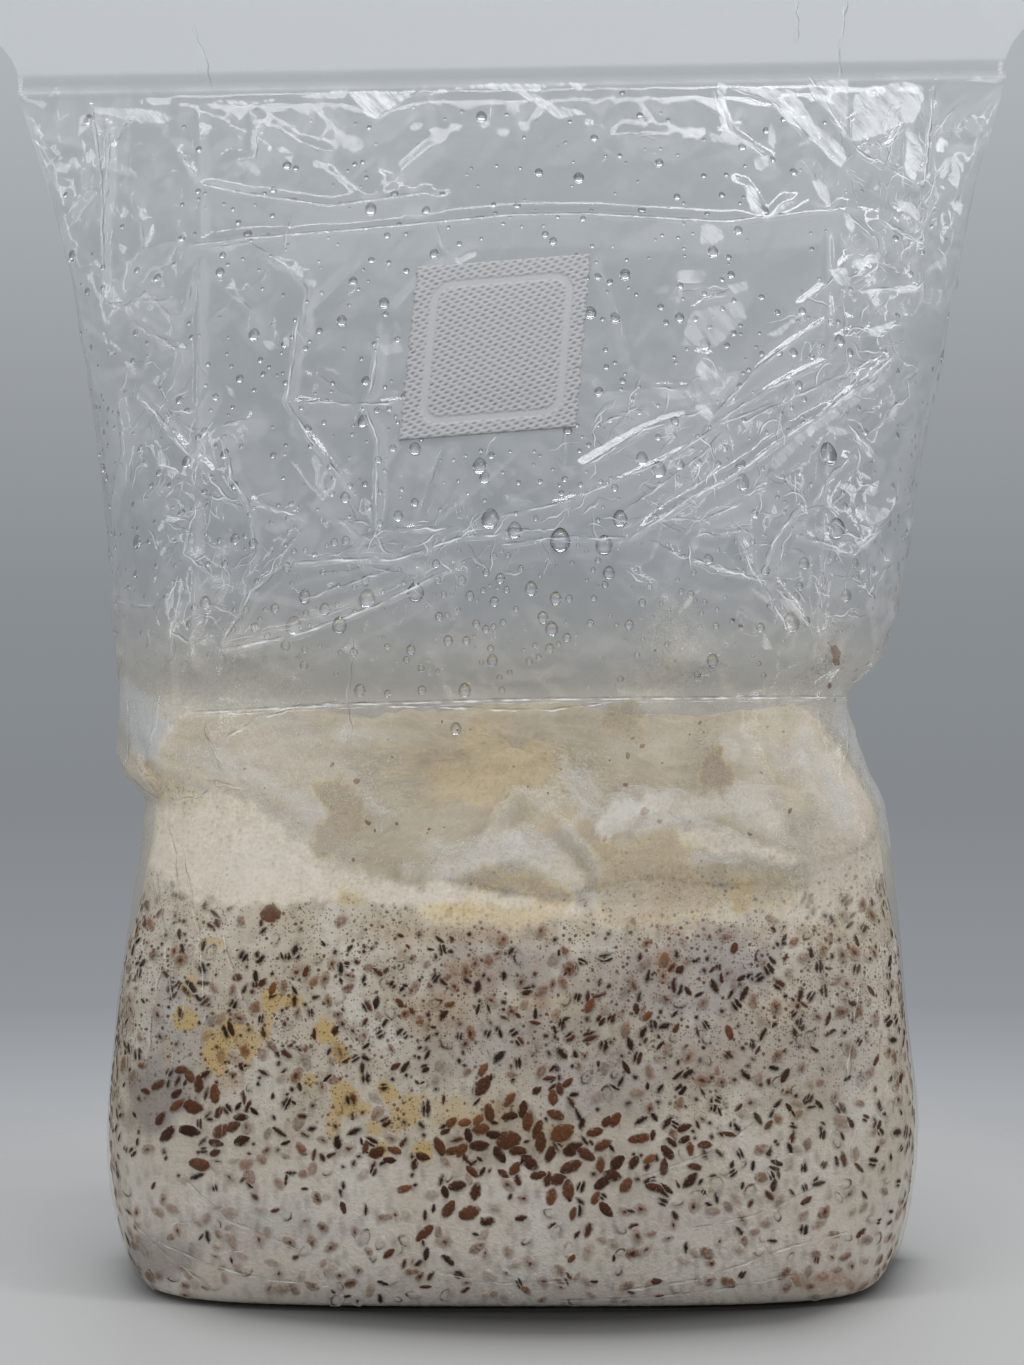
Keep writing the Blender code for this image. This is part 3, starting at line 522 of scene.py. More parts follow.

# Folds seen in the front panel: their line (x, z), height, width on each side and whiteness, which is partly
# painted highlight.
MAIN_FOLDS = [
    (((-91, 164), (-45, 166.6), (0, 168), (13, 168.2), (94, 168.8)), 1.1, 3, 7, 0.40),
    (((-94, 300), (-35, 305), (0, 308.5), (22, 308.5), (62, 306), (98, 310.7)), 1.4, 4, 9, 0.30),
    (((-45, 186), (-45, 157)), 0.5, 2, 4, 0.16),
    (((50, 207), (72, 200.7)), 1.2, 4, 6, 0.25),
    (((-119, 283), (-99, 283)), 1.2, 3, 5, 0.25),
    (((-110, 277), (-95, 268)), 1.2, 3, 5, 0.25),
    (((136, 349), (141, 330.4), (137, 319.2), (118.6, 319.2)), 1.3, 3, 6, 0.30),
    (((126, 346.7), (134.5, 324)), 1.2, 3, 6, 0.30),
    (((103, 330.4), (111.8, 330.4), (116.7, 336.9)), 1.2, 3, 5, 0.25),
    (((81.6, 244.4), (102.3, 259.3)), 1.3, 3, 6, 0.25),
    (((60, 349), (64, 335), (75, 326)), 1.3, 3, 6, 0.3),
    (((64, 350), (78, 344), (87, 333), (97, 324)), 1.6, 4, 8, 0.3),
    (((89, 353), (95, 340), (102, 328), (119, 319)), 1.6, 4, 8, 0.35),
    (((120, 348), (126, 336), (134, 323), (120, 319)), 1.3, 3, 7, 0.3),
    (((88, 323), (93, 312)), -1.3, 4, 5, 0.25),
    (((68, 318), (74, 307), (80, 313)), 1.2, 3, 6, 0.35),
    (((96, 310), (106, 301), (106, 293), (98, 287)), 1.5, 4, 7, 0.3),
    (((118, 317), (124, 308), (132, 318)), -1.3, 4, 6, 0.3),
    (((107, 308), (122, 301), (124, 306)), 1.3, 4, 6, 0.3),
    (((100, 286), (117, 287), (125, 290)), 1.3, 3, 6, 0.35),
    (((124, 295), (129, 285)), 1.2, 4, 5, 0.25),
    (((83, 281), (92, 288), (99, 297)), 1, 3, 7, 0.22),
    (((62, 286), (47, 286)), 0.9, 3, 7, 0.25),
    (((55, 282), (63, 285)), 0.9, 3, 7, 0.2),
    (((-144, 348), (-132, 306), (-123, 282)), 1.2, 3, 6, 0.25),
    (((-138, 342), (-134, 322), (-125, 300)), 1.2, 3, 5, 0.3),
    (((-120, 340), (-126, 310)), 1.5, 3, 6, 0.25),
    (((-114, 346), (-118, 337), (-122, 340)), -1.3, 4, 5, 0.3),
    (((-113, 317), (-109, 308), (-108, 300), (-98, 302)), 1, 4, 6, 0.2),
    (((-96, 327), (-92, 320), (-76, 316), (-53, 312), (-25, 316)), 1.2, 3, 8, 0.25),
    (((-75, 341), (-76, 328), (-81, 327)), 1.3, 4, 6, 0.25),
    (((-46, 347), (-40, 340), (-27, 351)), 2, 5, 7, 0.3),
    (((-87, 299), (-76, 300), (-64, 292), (-59, 285), (-60, 274)), 1, 4, 9, 0.22),
    (((-91, 297), (-94, 282)), 0.8, 3, 6, 0.18),
    (((-82, 286), (-75, 279)), 0.9, 4, 6, 0.2),
    (((-124, 284), (-112, 282), (-106, 286), (-98, 278)), 1.2, 4, 6, 0.28),
    (((-23, 306), (-18, 295)), 0.7, 3, 4, 0.2),
    (((-107, 255), (-101, 249), (-91, 237)), 1.3, 3, 6, 0.35),
    (((-88, 235), (-80, 224), (-74, 221)), 1.2, 3, 5, 0.28),
    (((-81, 241), (-79, 231), (-73, 221)), 1.2, 3, 5, 0.3),
    (((-72, 223), (-60, 219)), 1.3, 3, 5, 0.5),
    (((-92, 229), (-83, 224), (-76, 224)), 1, 3, 5, 0.28),
    (((-73, 220), (-72, 208), (-74, 201)), 0.7, 2.5, 6, 0.16),
    (((-61, 277), (-64, 252), (-56, 240), (-48, 230)), 1.2, 3, 9, 0.26),
    (((-63, 252), (-55, 252), (-42, 251), (-32, 252)), 0.9, 2.5, 6, 0.28),
    (((-38, 271), (-40, 256), (-42, 251), (-38, 241), (-38, 227), (-38, 214)), 1.1, 3, 6, 0.24),
    (((-55, 259), (-45, 253)), 0.7, 3, 6, 0.16),
    (((-49, 218), (-39, 217)), 0.7, 2.5, 5, 0.22),
    (((-49, 218), (-39, 212)), 0.7, 2.5, 5, 0.2),
    (((-38, 214), (-35, 209), (-32, 207)), 0.8, 2.5, 5, 0.25),
    (((-60, 206), (-48, 207), (-32, 207), (-15, 213), (-3, 214)), 1.5, 3, 6, 0.34),
    (((-63, 206), (-72, 199), (-81, 184)), 1.2, 3, 7, 0.26),
    (((-80, 182), (-60, 186), (-38, 194), (-18, 204)), 1.8, 4, 7, 0.34),
    (((-58, 196), (-43, 201), (-32, 205)), 1.2, 5, 5, 0.24),
    (((-20, 240), (-26, 221)), -0.8, 3, 10, 0.16),
    (((-35, 215), (-14, 216)), 0.9, 3, 4, 0.42),
    (((-14, 223), (-13, 219), (-10, 214)), 0.9, 2.5, 4, 0.26),
    (((-98, 220), (-90, 218), (-92, 209), (-83, 202)), 1, 4, 5, 0.28),
    (((-96, 187), (-89, 184), (-83, 185)), 1, 3, 5, 0.28),
    (((-97, 250), (-89, 250), (-87, 255)), 1, 3, 5, 0.28),
    (((-83, 245), (-74, 247)), 0.9, 4, 6, 0.2),
    (((-3, 219), (15, 223), (27, 228), (43, 235), (60, 246), (75, 252)), 1, 2.5, 7, 0.26),
    (((32, 221), (42, 228), (54, 237), (60, 244)), 0.9, 2.5, 6, 0.24),
    (((33, 213), (49, 223), (63, 231), (75, 240), (88, 249), (102, 260), (108, 266)), 2.4, 4, 8, 0.34),
    (((36, 218), (54, 218), (64, 223)), 1, 3, 5, 0.26),
    (((-3, 211), (11, 213), (33, 213)), 1.2, 3, 5, 0.28),
    (((-3, 215), (11, 215)), 0.8, 2.5, 4, 0.24),
    (((55, 246), (69, 261), (75, 266), (90, 277)), 1, 2.5, 6, 0.22),
    (((56, 245), (73, 256), (89, 264)), 1.2, 3, 5, 0.28),
    (((63, 245), (77, 252), (95, 261)), 1, 3, 5, 0.24),
    (((20, 233), (27, 237), (38, 244), (50, 248), (56, 250)), 1.2, 4, 8, 0.28),
    (((30, 248), (38, 250)), 0.7, 3, 4, 0.22),
    (((63, 214), (66, 206), (72, 197), (77, 187)), 1.3, 3, 5, 0.32),
    (((73, 201), (79, 194), (86, 186)), 1.1, 3, 5, 0.3),
    (((50, 207), (59, 204), (67, 202)), 1.3, 4, 6, 0.4),
    (((70, 204), (74, 214), (81, 222)), 1.1, 3, 4, 0.34),
    (((85, 224), (90, 231), (95, 236)), 1.1, 3, 4, 0.32),
    (((95, 246), (103, 236)), 1.2, 4, 5, 0.42),
    (((102, 244), (108, 251), (114, 256)), 1.1, 3, 5, 0.28),
    (((80, 214), (87, 212), (96, 209), (104, 216)), 1.2, 3, 5, 0.34),
    (((37, 213), (46, 208), (50, 208)), 0.9, 3, 4, 0.26),
    (((51, 214), (56, 214), (64, 215)), 0.9, 3, 4, 0.28),
    (((32, 204), (38, 200)), 0.9, 3, 4, 0.32),
    (((102, 273), (107, 274), (112, 277)), 1.2, 3, 4, 0.55),
    (((53, 266), (56, 265), (58, 261)), 1, 3, 4, 0.45),
    (((40, 256), (50, 256)), 0.9, 3, 5, 0.45),
    (((110, 266), (117, 264), (112, 260)), 1, 3, 4, 0.34),
    (((-95, 359), (-93, 352)), 0.4, 2, 3, 0.22),
    (((-96, 372), (-90, 351)), 0.4, 2, 3, 0.22),
    (((100, 377), (98, 352)), 0.4, 2, 3, 0.22),
    (((85, 377), (85, 362)), 0.4, 2, 3, 0.22),
    (((-109, 168), (-109, 152), (-110, 149), (-105, 144), (-101, 141), (-97, 139)), 0.5, 2, 3, 0.30),
    (((-98, 140), (-91, 140), (-86, 141), (-84, 143)), 0.5, 2, 3, 0.25),
    (((-108, 152), (-104, 147), (-100, 142)), 0.4, 2, 3, 0.25),
    (((-97, 139), (-96, 132), (-94, 124), (-93, 113)), 0.3, 2, 3, 0.22),
    (((-87, 146), (-76, 143), (-73, 144)), 0.4, 2, 3, 0.30),
    (((-86, 164), (-71, 164), (-59, 166), (-48, 167)), 0.5, 2, 4, 0.40),
    (((-80, 157), (-71, 163), (-59, 165)), 0.5, 2, 4, 0.35),
    (((-44, 167), (-34, 166), (-23, 166), (-3, 165), (11, 165), (27, 167)), 0.4, 2, 3, 0.40),
    (((-80, 148), (-86, 160), (-83, 162)), 0.4, 2, 3, 0.30),
    (((94, 166), (95, 160), (93, 148)), 0.4, 2, 3, 0.25),
    (((98, 157), (100, 148), (100, 140)), 0.4, 2, 3, 0.25),
    (((97, 162), (98, 154), (97, 143)), 0.3, 2, 3, 0.25),
    (((-92, 126), (-89, 113), (-86, 99), (-85, 85)), 0.3, 2, 2, 0.22),
    (((-100, 121), (-97, 104), (-94, 85)), 0.3, 2, 2, 0.20),
    (((-82, 111), (-78, 96), (-73, 83)), 0.3, 2, 2, 0.20),
    (((-97, 96), (-100, 80), (-102, 63)), 0.3, 2, 2, 0.20),
    (((102, 104), (103, 85), (101, 69)), 0.3, 2, 2, 0.20),
    (((97, 99), (95, 83), (92, 63)), 0.3, 2, 2, 0.20),
    (((-100, 19), (-86, 13), (-69, 9), (-50, 7)), 0.4, 2, 3, 0.30),
    (((-107, 24), (-97, 15), (-83, 5)), 0.4, 2, 3, 0.30),
    (((30, 6), (52, 9), (74, 17), (93, 21)), 0.4, 2, 3, 0.25),
    (((13, 3), (38, 4), (57, 6), (79, 10)), 0.3, 2, 2, 0.22),
    (((49, 23), (68, 27), (88, 36)), 0.3, 2, 2, 0.20),
    (((35, 37), (57, 45), (68, 53)), 0.3, 2, 2, 0.18),
    (((-91, 36), (-78, 25), (-58, 17)), 0.3, 2, 2, 0.18),
    (((-25, 12), (-3, 8), (19, 9)), 0.3, 2, 2, 0.16),
]
folds = np.zeros((Z_CELLS, U_CELLS))
for line, height, width, back_width, _ in MAIN_FOLDS:
    crease(folds, on_front(line), height, width, back_width)
for side in (-1.0, 1.0):
    edge = side * PANEL / 2.0
    crease(folds, [(edge, 345.0), (edge + 1.0, 300.0), (edge, 240.0), (edge - 2.0, 176.0)], 0.9, 2.4)
    middle = side * (PANEL + GUSSET) / 2.0
    crease(folds, [(middle, 345.0), (middle, 180.0)], -1.5, 6.0)

SMALL_FOLD_TRIES, PUCKERS, DRAWN_WRINKLES, SMALL_PAINTED_GLARE_TRIES = 420, 64, 70, 150
pick = random.Random(5)
small_folds = []
for _ in range(SMALL_FOLD_TRIES):
    u, z = pick.uniform(-GIRTH / 2.0, GIRTH / 2.0), pick.uniform(140.0, 346.0)
    weight = float(sample(hard * calm, u, z))
    if pick.random() > weight + 0.08:
        continue
    turn, length, bend = pick.uniform(0.0, math.pi), pick.uniform(8.0, 34.0), pick.uniform(-0.5, 0.5)
    line = bent_line(u, z, length / 2, turn, bend)
    rise = pick.choice((-1.0, 1.0)) * pick.uniform(0.4, 1.3) * (0.4 + weight)
    crease(folds, line, rise, pick.uniform(1.5, 4.0), pick.uniform(2.5, 6.5))
    if abs(u) < 150.0 and max(point[1] for point in line) < 346.0:
        small_folds.append((line, weight))
folds *= unit((SEAL_Z - 1.0 - grid_z) / 8.0)
lines = np.zeros((Z_CELLS, U_CELLS))
for line, _, _, _, white in MAIN_FOLDS:
    crease(lines, on_front(line), white, 1.0)

# Short sharp folds crowd where the film was pressed together hardest.
for x, z, wide, high, count in (
        (112, 326, 18, 20, 70), (98, 268, 16, 26, 50), (60, 226, 40, 18, 60), (88, 206, 20, 16, 36),
        (-100, 236, 14, 34, 50), (-20, 210, 40, 12, 44), (-86, 196, 18, 14, 30), (24, 240, 26, 14, 30)):
    for _ in range(count):
        u, up = to_u(x, z) + pick.gauss(0.0, 0.6 * wide), z + pick.gauss(0.0, 0.6 * high)
        turn, reach, bend = pick.gauss(0.7, 0.9), pick.uniform(2.0, 7.5), pick.uniform(-0.9, 0.9)
        if up < 345.0:
            small_folds.append((bent_line(u, up, reach, turn, bend), pick.uniform(0.35, 1.1)))
# Puckers hang from the seal, where the film was drawn in as it cooled.
for _ in range(PUCKERS):
    u = pick.uniform(-150.0, 150.0)
    length, lean = pick.uniform(3.0, 16.0), pick.uniform(-0.8, 0.8)
    crease(folds, [(u, SEAL_Z - 1.0), (u + lean * length, SEAL_Z - 1.0 - length)],
           pick.choice((-1.0, 1.0)) * pick.uniform(0.15, 0.5), pick.uniform(1.5, 4.0))
# Drawn wrinkles where the film is pulled tight over the block.
for _ in range(DRAWN_WRINKLES):
    side = pick.choice((-1.0, 1.0))
    u, z = side * pick.uniform(80.0, 150.0), pick.uniform(6.0, 125.0)
    length, lean = pick.uniform(10.0, 34.0), side * pick.uniform(-0.35, 0.05)
    line = [(u, z), (u + lean * length, z + length)]
    crease(folds, line, pick.uniform(0.15, 0.4), pick.uniform(1.2, 2.5))
    small_folds.append((line, pick.uniform(0.0, 0.2)))
for x, z, run_x, run_z in (
        (92, 42, 8, 22), (84, 40, 9, 20), (100, 50, 6, 18), (74, 30, 16, 12), (-96, 60, 10, 44), (-88, 66, 8, 36),
        (-104, 20, 20, 6), (-90, 14, 26, 5), (60, 14, 30, 6), (100, 84, 4, 26)):
    line = on_front([(x, z), (x + run_x, z + run_z)])
    crease(folds, line, 0.4, 1.8)
    small_folds.append((line, 0.30))

relief = crumple + folds
slope_u = np.gradient(relief, CELL, axis=1)
slope_z = np.gradient(relief, CELL, axis=0)
bend_u, bend_z = np.abs(np.gradient(slope_u, CELL, axis=1)), np.abs(np.gradient(slope_z, CELL, axis=0))
sharpness = unit((bend_u + bend_z) * 1.2)

# Painted sheen: facets that lean up and to the left are painted whiter, as if they caught the light, and those that
# lean away stay clear. The slack facets only steer this painted sheen; they do not move the film.
slack = 1.6 * facets(30.0, 61, 1.1) + 0.8 * facets(13.0, 62) + 0.3 * facets(6.0, 63)
lean = 4.0 * (0.8 * slope_z - 0.6 * slope_u) + 3.6 * (0.35 + 0.65 * hard) * (
    0.8 * np.gradient(slack, CELL, axis=0) - 0.6 * np.gradient(slack, CELL, axis=1))
head = unit((grid_z - 158.0) / 22.0) * unit((SEAL_Z - 1.0 - grid_z) / 6.0)
painted_facet_sheen = unit(0.45 + lean) ** 2 * head

# Clouding: white along the creases, partly the film's own whitening and partly painted highlight; painted sheen on
# facets that face the light; threads grown on the film round the mat; the pressed seal.
patchy = 0.5 + 0.5 * (0.5 * facets(9.0, 41) + 0.3 * facets(4.0, 42) + 0.2 * facets(22.0, 43))
cloud = 0.15 * sharpness + 0.16 * lines * (0.3 + 0.9 * patchy) + 0.105 * painted_facet_sheen
lit = 0.9 * painted_facet_sheen
# Painted reflection: each facet of the film, from above the mat up to the seal, is evenly whiter or clearer than
# the next.
tones = 0.6 * facets(26.0, 51, 1.2, level=True) + 0.4 * facets(12.0, 52, level=True)
cloud += 0.10 * unit(tones) ** 1.5 * unit(hard + 0.25) * unit((grid_z - 150.0) / 30.0) * (grid_z < SEAL_Z)
grown = front_spots([
    (-84, 160, 26, 16, 0.75), (-60, 148, 30, 16, 0.55), (-100, 140, 14, 22, 0.7), (80, 150, 22, 24, 0.65),
    (92, 128, 16, 20, 0.6), (20, 134, 60, 14, 0.35), (-20, 146, 50, 20, 0.30), (44, 176, 9, 13, 0.75),
    (62, 158, 20, 12, 0.4), (36, 158, 16, 10, 0.4), (-94, 120, 18, 12, 0.5), (0, 116, 110, 8, 0.30),
    (-70, 172, 24, 8, 0.35)])
cloud += np.clip(0.72 * grown * (patchy + 0.10), 0.0, 0.6)
cloud += front_spots([(0, 185, 120, 20, 0.06), (-70, 190, 40, 20, 0.09), (80, 196, 44, 26, 0.13),
                      (-14, 186, 30, 16, 0.03)])
cloud += (0.10 + 0.5 * patchy) * np.exp(-((grid_z - SEAL_Z - 0.2) / 0.7) ** 2) + 0.05 * (
    (grid_z > SEAL_Z) & (grid_z < SEAL_TOP))
cloud += 0.16 * patchy * np.exp(-((grid_z - SEAL_TOP) / 0.6) ** 2)
# Over the mat the cloud is cream, not white, and it reaches a little above the mat.
warm = 0.5 * unit((212.0 - grid_z) / 38.0)
cloud += 0.13 * unit((190.0 - grid_z) / 22.0) * unit((grid_z - 106.0) / 14.0) * (0.75 + 0.5 * patchy)
lit += 0.06 * unit((190.0 - grid_z) / 22.0) * unit((grid_z - 106.0) / 14.0)
above_seal = unit((grid_z - SEAL_TOP) / 1.0)
cloud, lit = cloud + 0.20 * above_seal, lit + 0.6 * above_seal

# Where the film is pressed wet against the block it hardly shines.
shine = 0.22 + 0.78 * unit((grid_z - 146.0) / 34.0)
shine *= 1.0 - 0.45 * unit((grid_z - 235.0) / 30.0) * unit((70.0 - grid_u) / 30.0) * (np.abs(grid_u) < 130.0)
shine = np.where(grid_z > SEAL_TOP, 0.40 * np.clip((158.0 - np.abs(grid_u)) / 20.0, 0.15, 1.0), shine)

# Painted highlights: areas of the front panel painted white where the film reflects the light in a sheet: their
# corners (x, z) and how white they are.
PAINTED_GLARE = [
    (((61, 352), (64, 351), (64, 343), (66, 335), (72, 331), (77, 327), (69, 330), (62, 333), (61, 342)), 0.5),
    (((77, 344), (83, 347), (86, 346), (90, 338), (98, 330), (99, 326), (97, 323), (93, 326), (87, 334),
      (81, 338)), 0.6),
    (((62, 351), (74, 350), (85, 349), (86, 347), (78, 344), (70, 348)), 0.55),
    (((88, 351), (95, 352), (101, 352), (100, 340), (99, 331), (96, 338), (90, 345)), 0.35),
    (((102, 347), (109, 350), (116, 351), (124, 350), (123, 345), (120, 338), (114, 337), (109, 334),
      (100, 331), (101, 338)), 0.55),
    (((116.7, 336.9), (121, 335.2), (122, 327.2), (118.6, 319.2), (115.8, 322.4), (117.2, 330.4)), 0.6),
    (((123.5, 327.2), (127.9, 327.2), (129.2, 324), (132.1, 323.4), (130.5, 322.1), (124.6, 321.5),
      (119.7, 322.4)), 0.45),
    (((136.9, 348.4), (139.4, 349.5), (140.1, 336.9), (142, 330.4), (140.3, 322.4), (139, 320.8),
      (139.1, 330.4), (138.5, 338.5)), 0.7),
    (((125, 348), (134, 350), (138, 352), (135, 348), (129, 345), (125, 344)), 0.35),
    (((120, 319), (130, 322), (136, 321), (139, 319), (133, 318), (123, 318)), 0.5),
    (((111, 314), (118, 315), (121, 312), (125, 310), (121, 308), (115, 311)), 0.5),
    (((122.4, 310.7), (128.4, 311.9), (131.6, 316.1), (133.2, 317.6), (132, 312.9), (126.7, 308.2),
      (122.8, 307.5)), 0.45),
    (((68.4, 318.9), (71.3, 317.4), (73.9, 309.4), (73.8, 307.2), (69.5, 310.3), (68.5, 314.1)), 0.75),
    (((70.8, 327), (75.5, 327), (76, 324.4), (73.6, 322.2), (71.5, 323.1)), 0.55),
    (((88.3, 320.8), (90.7, 321.4), (94, 315.1), (93.8, 311.9), (90.4, 314.5)), 0.55),
    (((74.8, 309.4), (79.9, 312.7), (84.4, 313.4), (79.8, 310.5), (75.9, 307.2)), 0.4),
    (((95.5, 310.7), (98.4, 309.7), (100.2, 305), (99.1, 301.9), (97.5, 303.4), (96.8, 307.5)), 0.6),
    (((98.2, 295), (104.1, 297.2), (107.1, 298.1), (109.2, 295), (103.9, 294.1), (99.4, 291)), 0.55),
    (((91.7, 292.5), (96.6, 293.1), (98.5, 290.1), (97.8, 286.4), (93.5, 287.9)), 0.6),
    (((99.2, 285.8), (106.5, 287.3), (107.8, 285.8), (103.4, 283.9)), 0.65),
    (((107.9, 287), (115.3, 288.8), (119.6, 289.4), (118, 287), (112.2, 285.5)), 0.6),
    (((101.5, 274.2), (107.4, 276.6), (111.8, 278.8), (110.2, 275.7), (104.3, 271.8), (102.3, 271.8)), 0.6),
    (((54.8, 306.1), (61.1, 304.6), (61.9, 301.4), (58, 298.9), (54.5, 299.8)), 0.4),
    (((61.4, 287.4), (68.1, 289), (68.6, 286), (64.2, 284.1)), 0.35),
    (((51, 279), (66, 283), (68, 278), (64, 274), (58, 268), (48, 269)), 0.25),
    (((72, 272), (78, 276), (84, 280), (89, 283), (83, 278), (77, 272)), 0.4),
    (((-144, 349), (-135, 348), (-123, 347), (-116, 347), (-108, 345), (-112, 342), (-120, 344), (-132, 345)),
      0.45),
    (((-114, 347), (-104, 345), (-100, 343), (-103, 341), (-111, 341), (-114, 343)), 0.6),
    (((-90, 349), (-78, 348), (-69, 349), (-72, 347), (-81, 346), (-89, 347)), 0.55),
    (((-79.7, 346.6), (-75.6, 343.3), (-74.6, 333.5), (-75, 329.6), (-77.4, 330.2), (-77.2, 338.4)), 0.5),
    (((-81.8, 327.7), (-74.9, 327), (-73.6, 323.1), (-75.6, 322.2), (-80.2, 325.4)), 0.55),
    (((-69, 349), (-54, 351), (-48, 352), (-50, 348), (-60, 348)), 0.5),
    (((-50, 351), (-28, 351), (-33, 346), (-40, 340), (-43, 341), (-45, 344), (-48, 348)), 0.85),
    (((-103, 337), (-97, 336), (-91, 331), (-94, 330), (-100, 333)), 0.3),
    (((-98, 330), (-94, 328), (-92, 323), (-87, 321), (-80, 318), (-87, 319), (-95, 322), (-97, 326)), 0.4),
    (((-94, 302), (-84, 302), (-76, 303), (-79, 301), (-89, 300)), 0.35),
    (((-76, 298), (-70, 295), (-64, 292), (-60, 287), (-62, 287), (-68, 292)), 0.45),
    (((-82.8, 284.7), (-76.9, 283.9), (-75.4, 280.6), (-78.3, 281.5)), 0.45),
    (((-71.5, 270.9), (-69.2, 270.8), (-64.8, 267.8), (-69.7, 267.8)), 0.7),
    (((-123, 283), (-112, 283), (-110, 280), (-119, 280)), 0.25),
    (((-104, 272.7), (-99.7, 271.2), (-98.1, 268.2), (-101, 268.2)), 0.4),
    (((-39.1, 269.1), (-32, 270), (-30.2, 267), (-36.2, 265.8)), 0.45),
    (((-34.1, 279.6), (-31.4, 273.6), (-31.3, 267.6), (-33.7, 270.6)), 0.3),
    (((-115.8, 316.7), (-113.6, 314.5), (-113.7, 311.3), (-115.6, 313.2)), 0.6),
    (((-28, 348), (-22, 351), (-13, 352), (-4, 353), (10, 352), (23, 352), (11, 351), (4, 348), (-1, 350),
      (-10, 351), (-18, 350)), 0.5),
    (((-2, 352), (5, 350), (13, 345), (20, 343), (25, 342), (19, 341), (14, 340), (10, 343), (4, 347)), 0.7),
    (((14.4, 352.6), (23.4, 352.3), (19.7, 349)), 0.6),
    (((21.7, 338.2), (26.1, 336.6), (31.9, 332.7), (27.5, 334.3)), 0.4),
    (((23.1, 332.3), (28.9, 330.1), (34.7, 325.2), (28.9, 327.5)), 0.25),
    (((56, 337), (63, 333), (73, 330), (66, 330), (59, 332)), 0.4),
    (((-22.4, 302.8), (-19.4, 299.7), (-18.5, 295.6), (-20.9, 298.1)), 0.35),
    (((-37.4, 255.2), (-31.8, 256.4), (-31.2, 254.6), (-36, 254)), 0.55),
    (((-31, 216), (-26, 216), (-17, 215), (-19, 214), (-28, 214)), 0.6),
    (((-59, 207), (-52, 208), (-45, 207), (-38, 207), (-48, 206), (-58, 206)), 0.5),
    (((-72, 222.6), (-66.3, 221.7), (-60.6, 219.1), (-64.9, 220), (-71.1, 221.2)), 0.65),
    (((-43.8, 202.8), (-38.2, 202), (-35.4, 198.6), (-37.4, 195.9), (-42.4, 196.7)), 0.3),
    (((-80, 182), (-70, 188), (-59, 192), (-45, 196), (-31, 199), (-23, 203), (-18, 208), (-17, 206),
      (-23, 199), (-31, 195), (-42, 191), (-59, 187), (-73, 182), (-80, 181)), 0.2),
    (((-102.2, 230), (-96.5, 228.6), (-92.2, 227.7), (-96.4, 225.7), (-101.5, 227.1)), 0.3),
    (((-89.1, 220), (-83.3, 215.6), (-77.6, 214.2), (-80.4, 212.8), (-87.7, 217.1)), 0.25),
    (((-62.3, 229.7), (-55.3, 232.5), (-53.8, 229.6), (-59.3, 223.9), (-62, 218.3), (-63.5, 224)), 0.12),
    (((-112, 207), (-107, 207), (-102, 185), (-96, 168), (-108, 168), (-112, 182)), 0.12),
    (((39, 255), (45, 256), (50, 256), (53, 254), (50, 253), (43, 253)), 0.5),
    (((50.4, 251.4), (54.7, 251.5), (57.4, 248.5), (56, 246.2), (51.8, 248.5)), 0.5),
    (((53.5, 264.7), (59.2, 260.3), (59.6, 257.4), (54.8, 257.9), (52, 261.7)), 0.45),
    (((29, 244.1), (36.1, 244.6), (40.3, 243.5), (36, 240.6), (30.4, 241.1)), 0.3),
    (((-9, 233.9), (-3.4, 235.3), (2.2, 232.4), (-3.4, 226.7), (-8.9, 222.4)), 0.2),
    (((-3, 225), (5, 227), (12, 231), (14, 234), (22, 235), (19, 233), (8, 227), (-2, 222)), 0.2),
    (((70, 233), (82, 244), (96, 255), (108, 264), (110, 262), (99, 253), (84, 242), (72, 230)), 0.3),
    (((96, 244.6), (102.8, 238.7), (101.3, 235.8), (97.2, 239.3)), 0.35),
    (((98, 224.2), (107.8, 222.8), (107.7, 218.5), (100.6, 217.1), (96.5, 220)), 0.25),
    (((94.9, 211.5), (100.6, 210.1), (104.8, 217.1), (97.8, 212.9)), 0.35),
    (((52.5, 207), (58.1, 205.7), (62.3, 204.3), (58.1, 203.7), (53, 205.6)), 0.45),
    (((62.3, 204.3), (69.3, 198.7), (73.6, 195.9), (70.7, 194.5), (65.1, 200.1)), 0.3),
    (((73.6, 197.3), (79.3, 196), (83.6, 190.4), (80.7, 189.8), (76.4, 193.2)), 0.25),
    (((31.5, 204.8), (35.7, 203.4), (38.5, 200.9), (35.7, 201.4), (32.3, 203.4)), 0.4),
    (((49.7, 212.6), (52.5, 214), (51.9, 209.8), (49.7, 209.3)), 0.4),
    (((107.7, 250.5), (110.1, 253.4), (109, 247.5), (104.6, 246.1)), 0.45),
    (((-26, 241), (-16, 244), (-12, 232), (-20, 218), (-28, 218)), 0.1),
    (((22, 256), (39, 253), (39, 244), (25, 244)), 0.12),
    (((51, 259), (65, 262), (63, 253), (53, 250)), 0.12)]


def away_from(line, x, z, furthest):
    """How far places (x, z) lie from a line of points, up to a furthest distance."""
    away = np.full(x.shape, furthest)
    for (xa, za), (xb, zb) in zip(line, line[1:]):
        run_x, run_z = xb - xa, zb - za
        share = unit(((x - xa) * run_x + (z - za) * run_z) / max(run_x ** 2 + run_z ** 2, 1e-9))
        away = np.minimum(away, np.hypot(x - xa - share * run_x, z - za - share * run_z))
    return away


RIM = 9.0                   # how far outside a shape its distance is still worked out


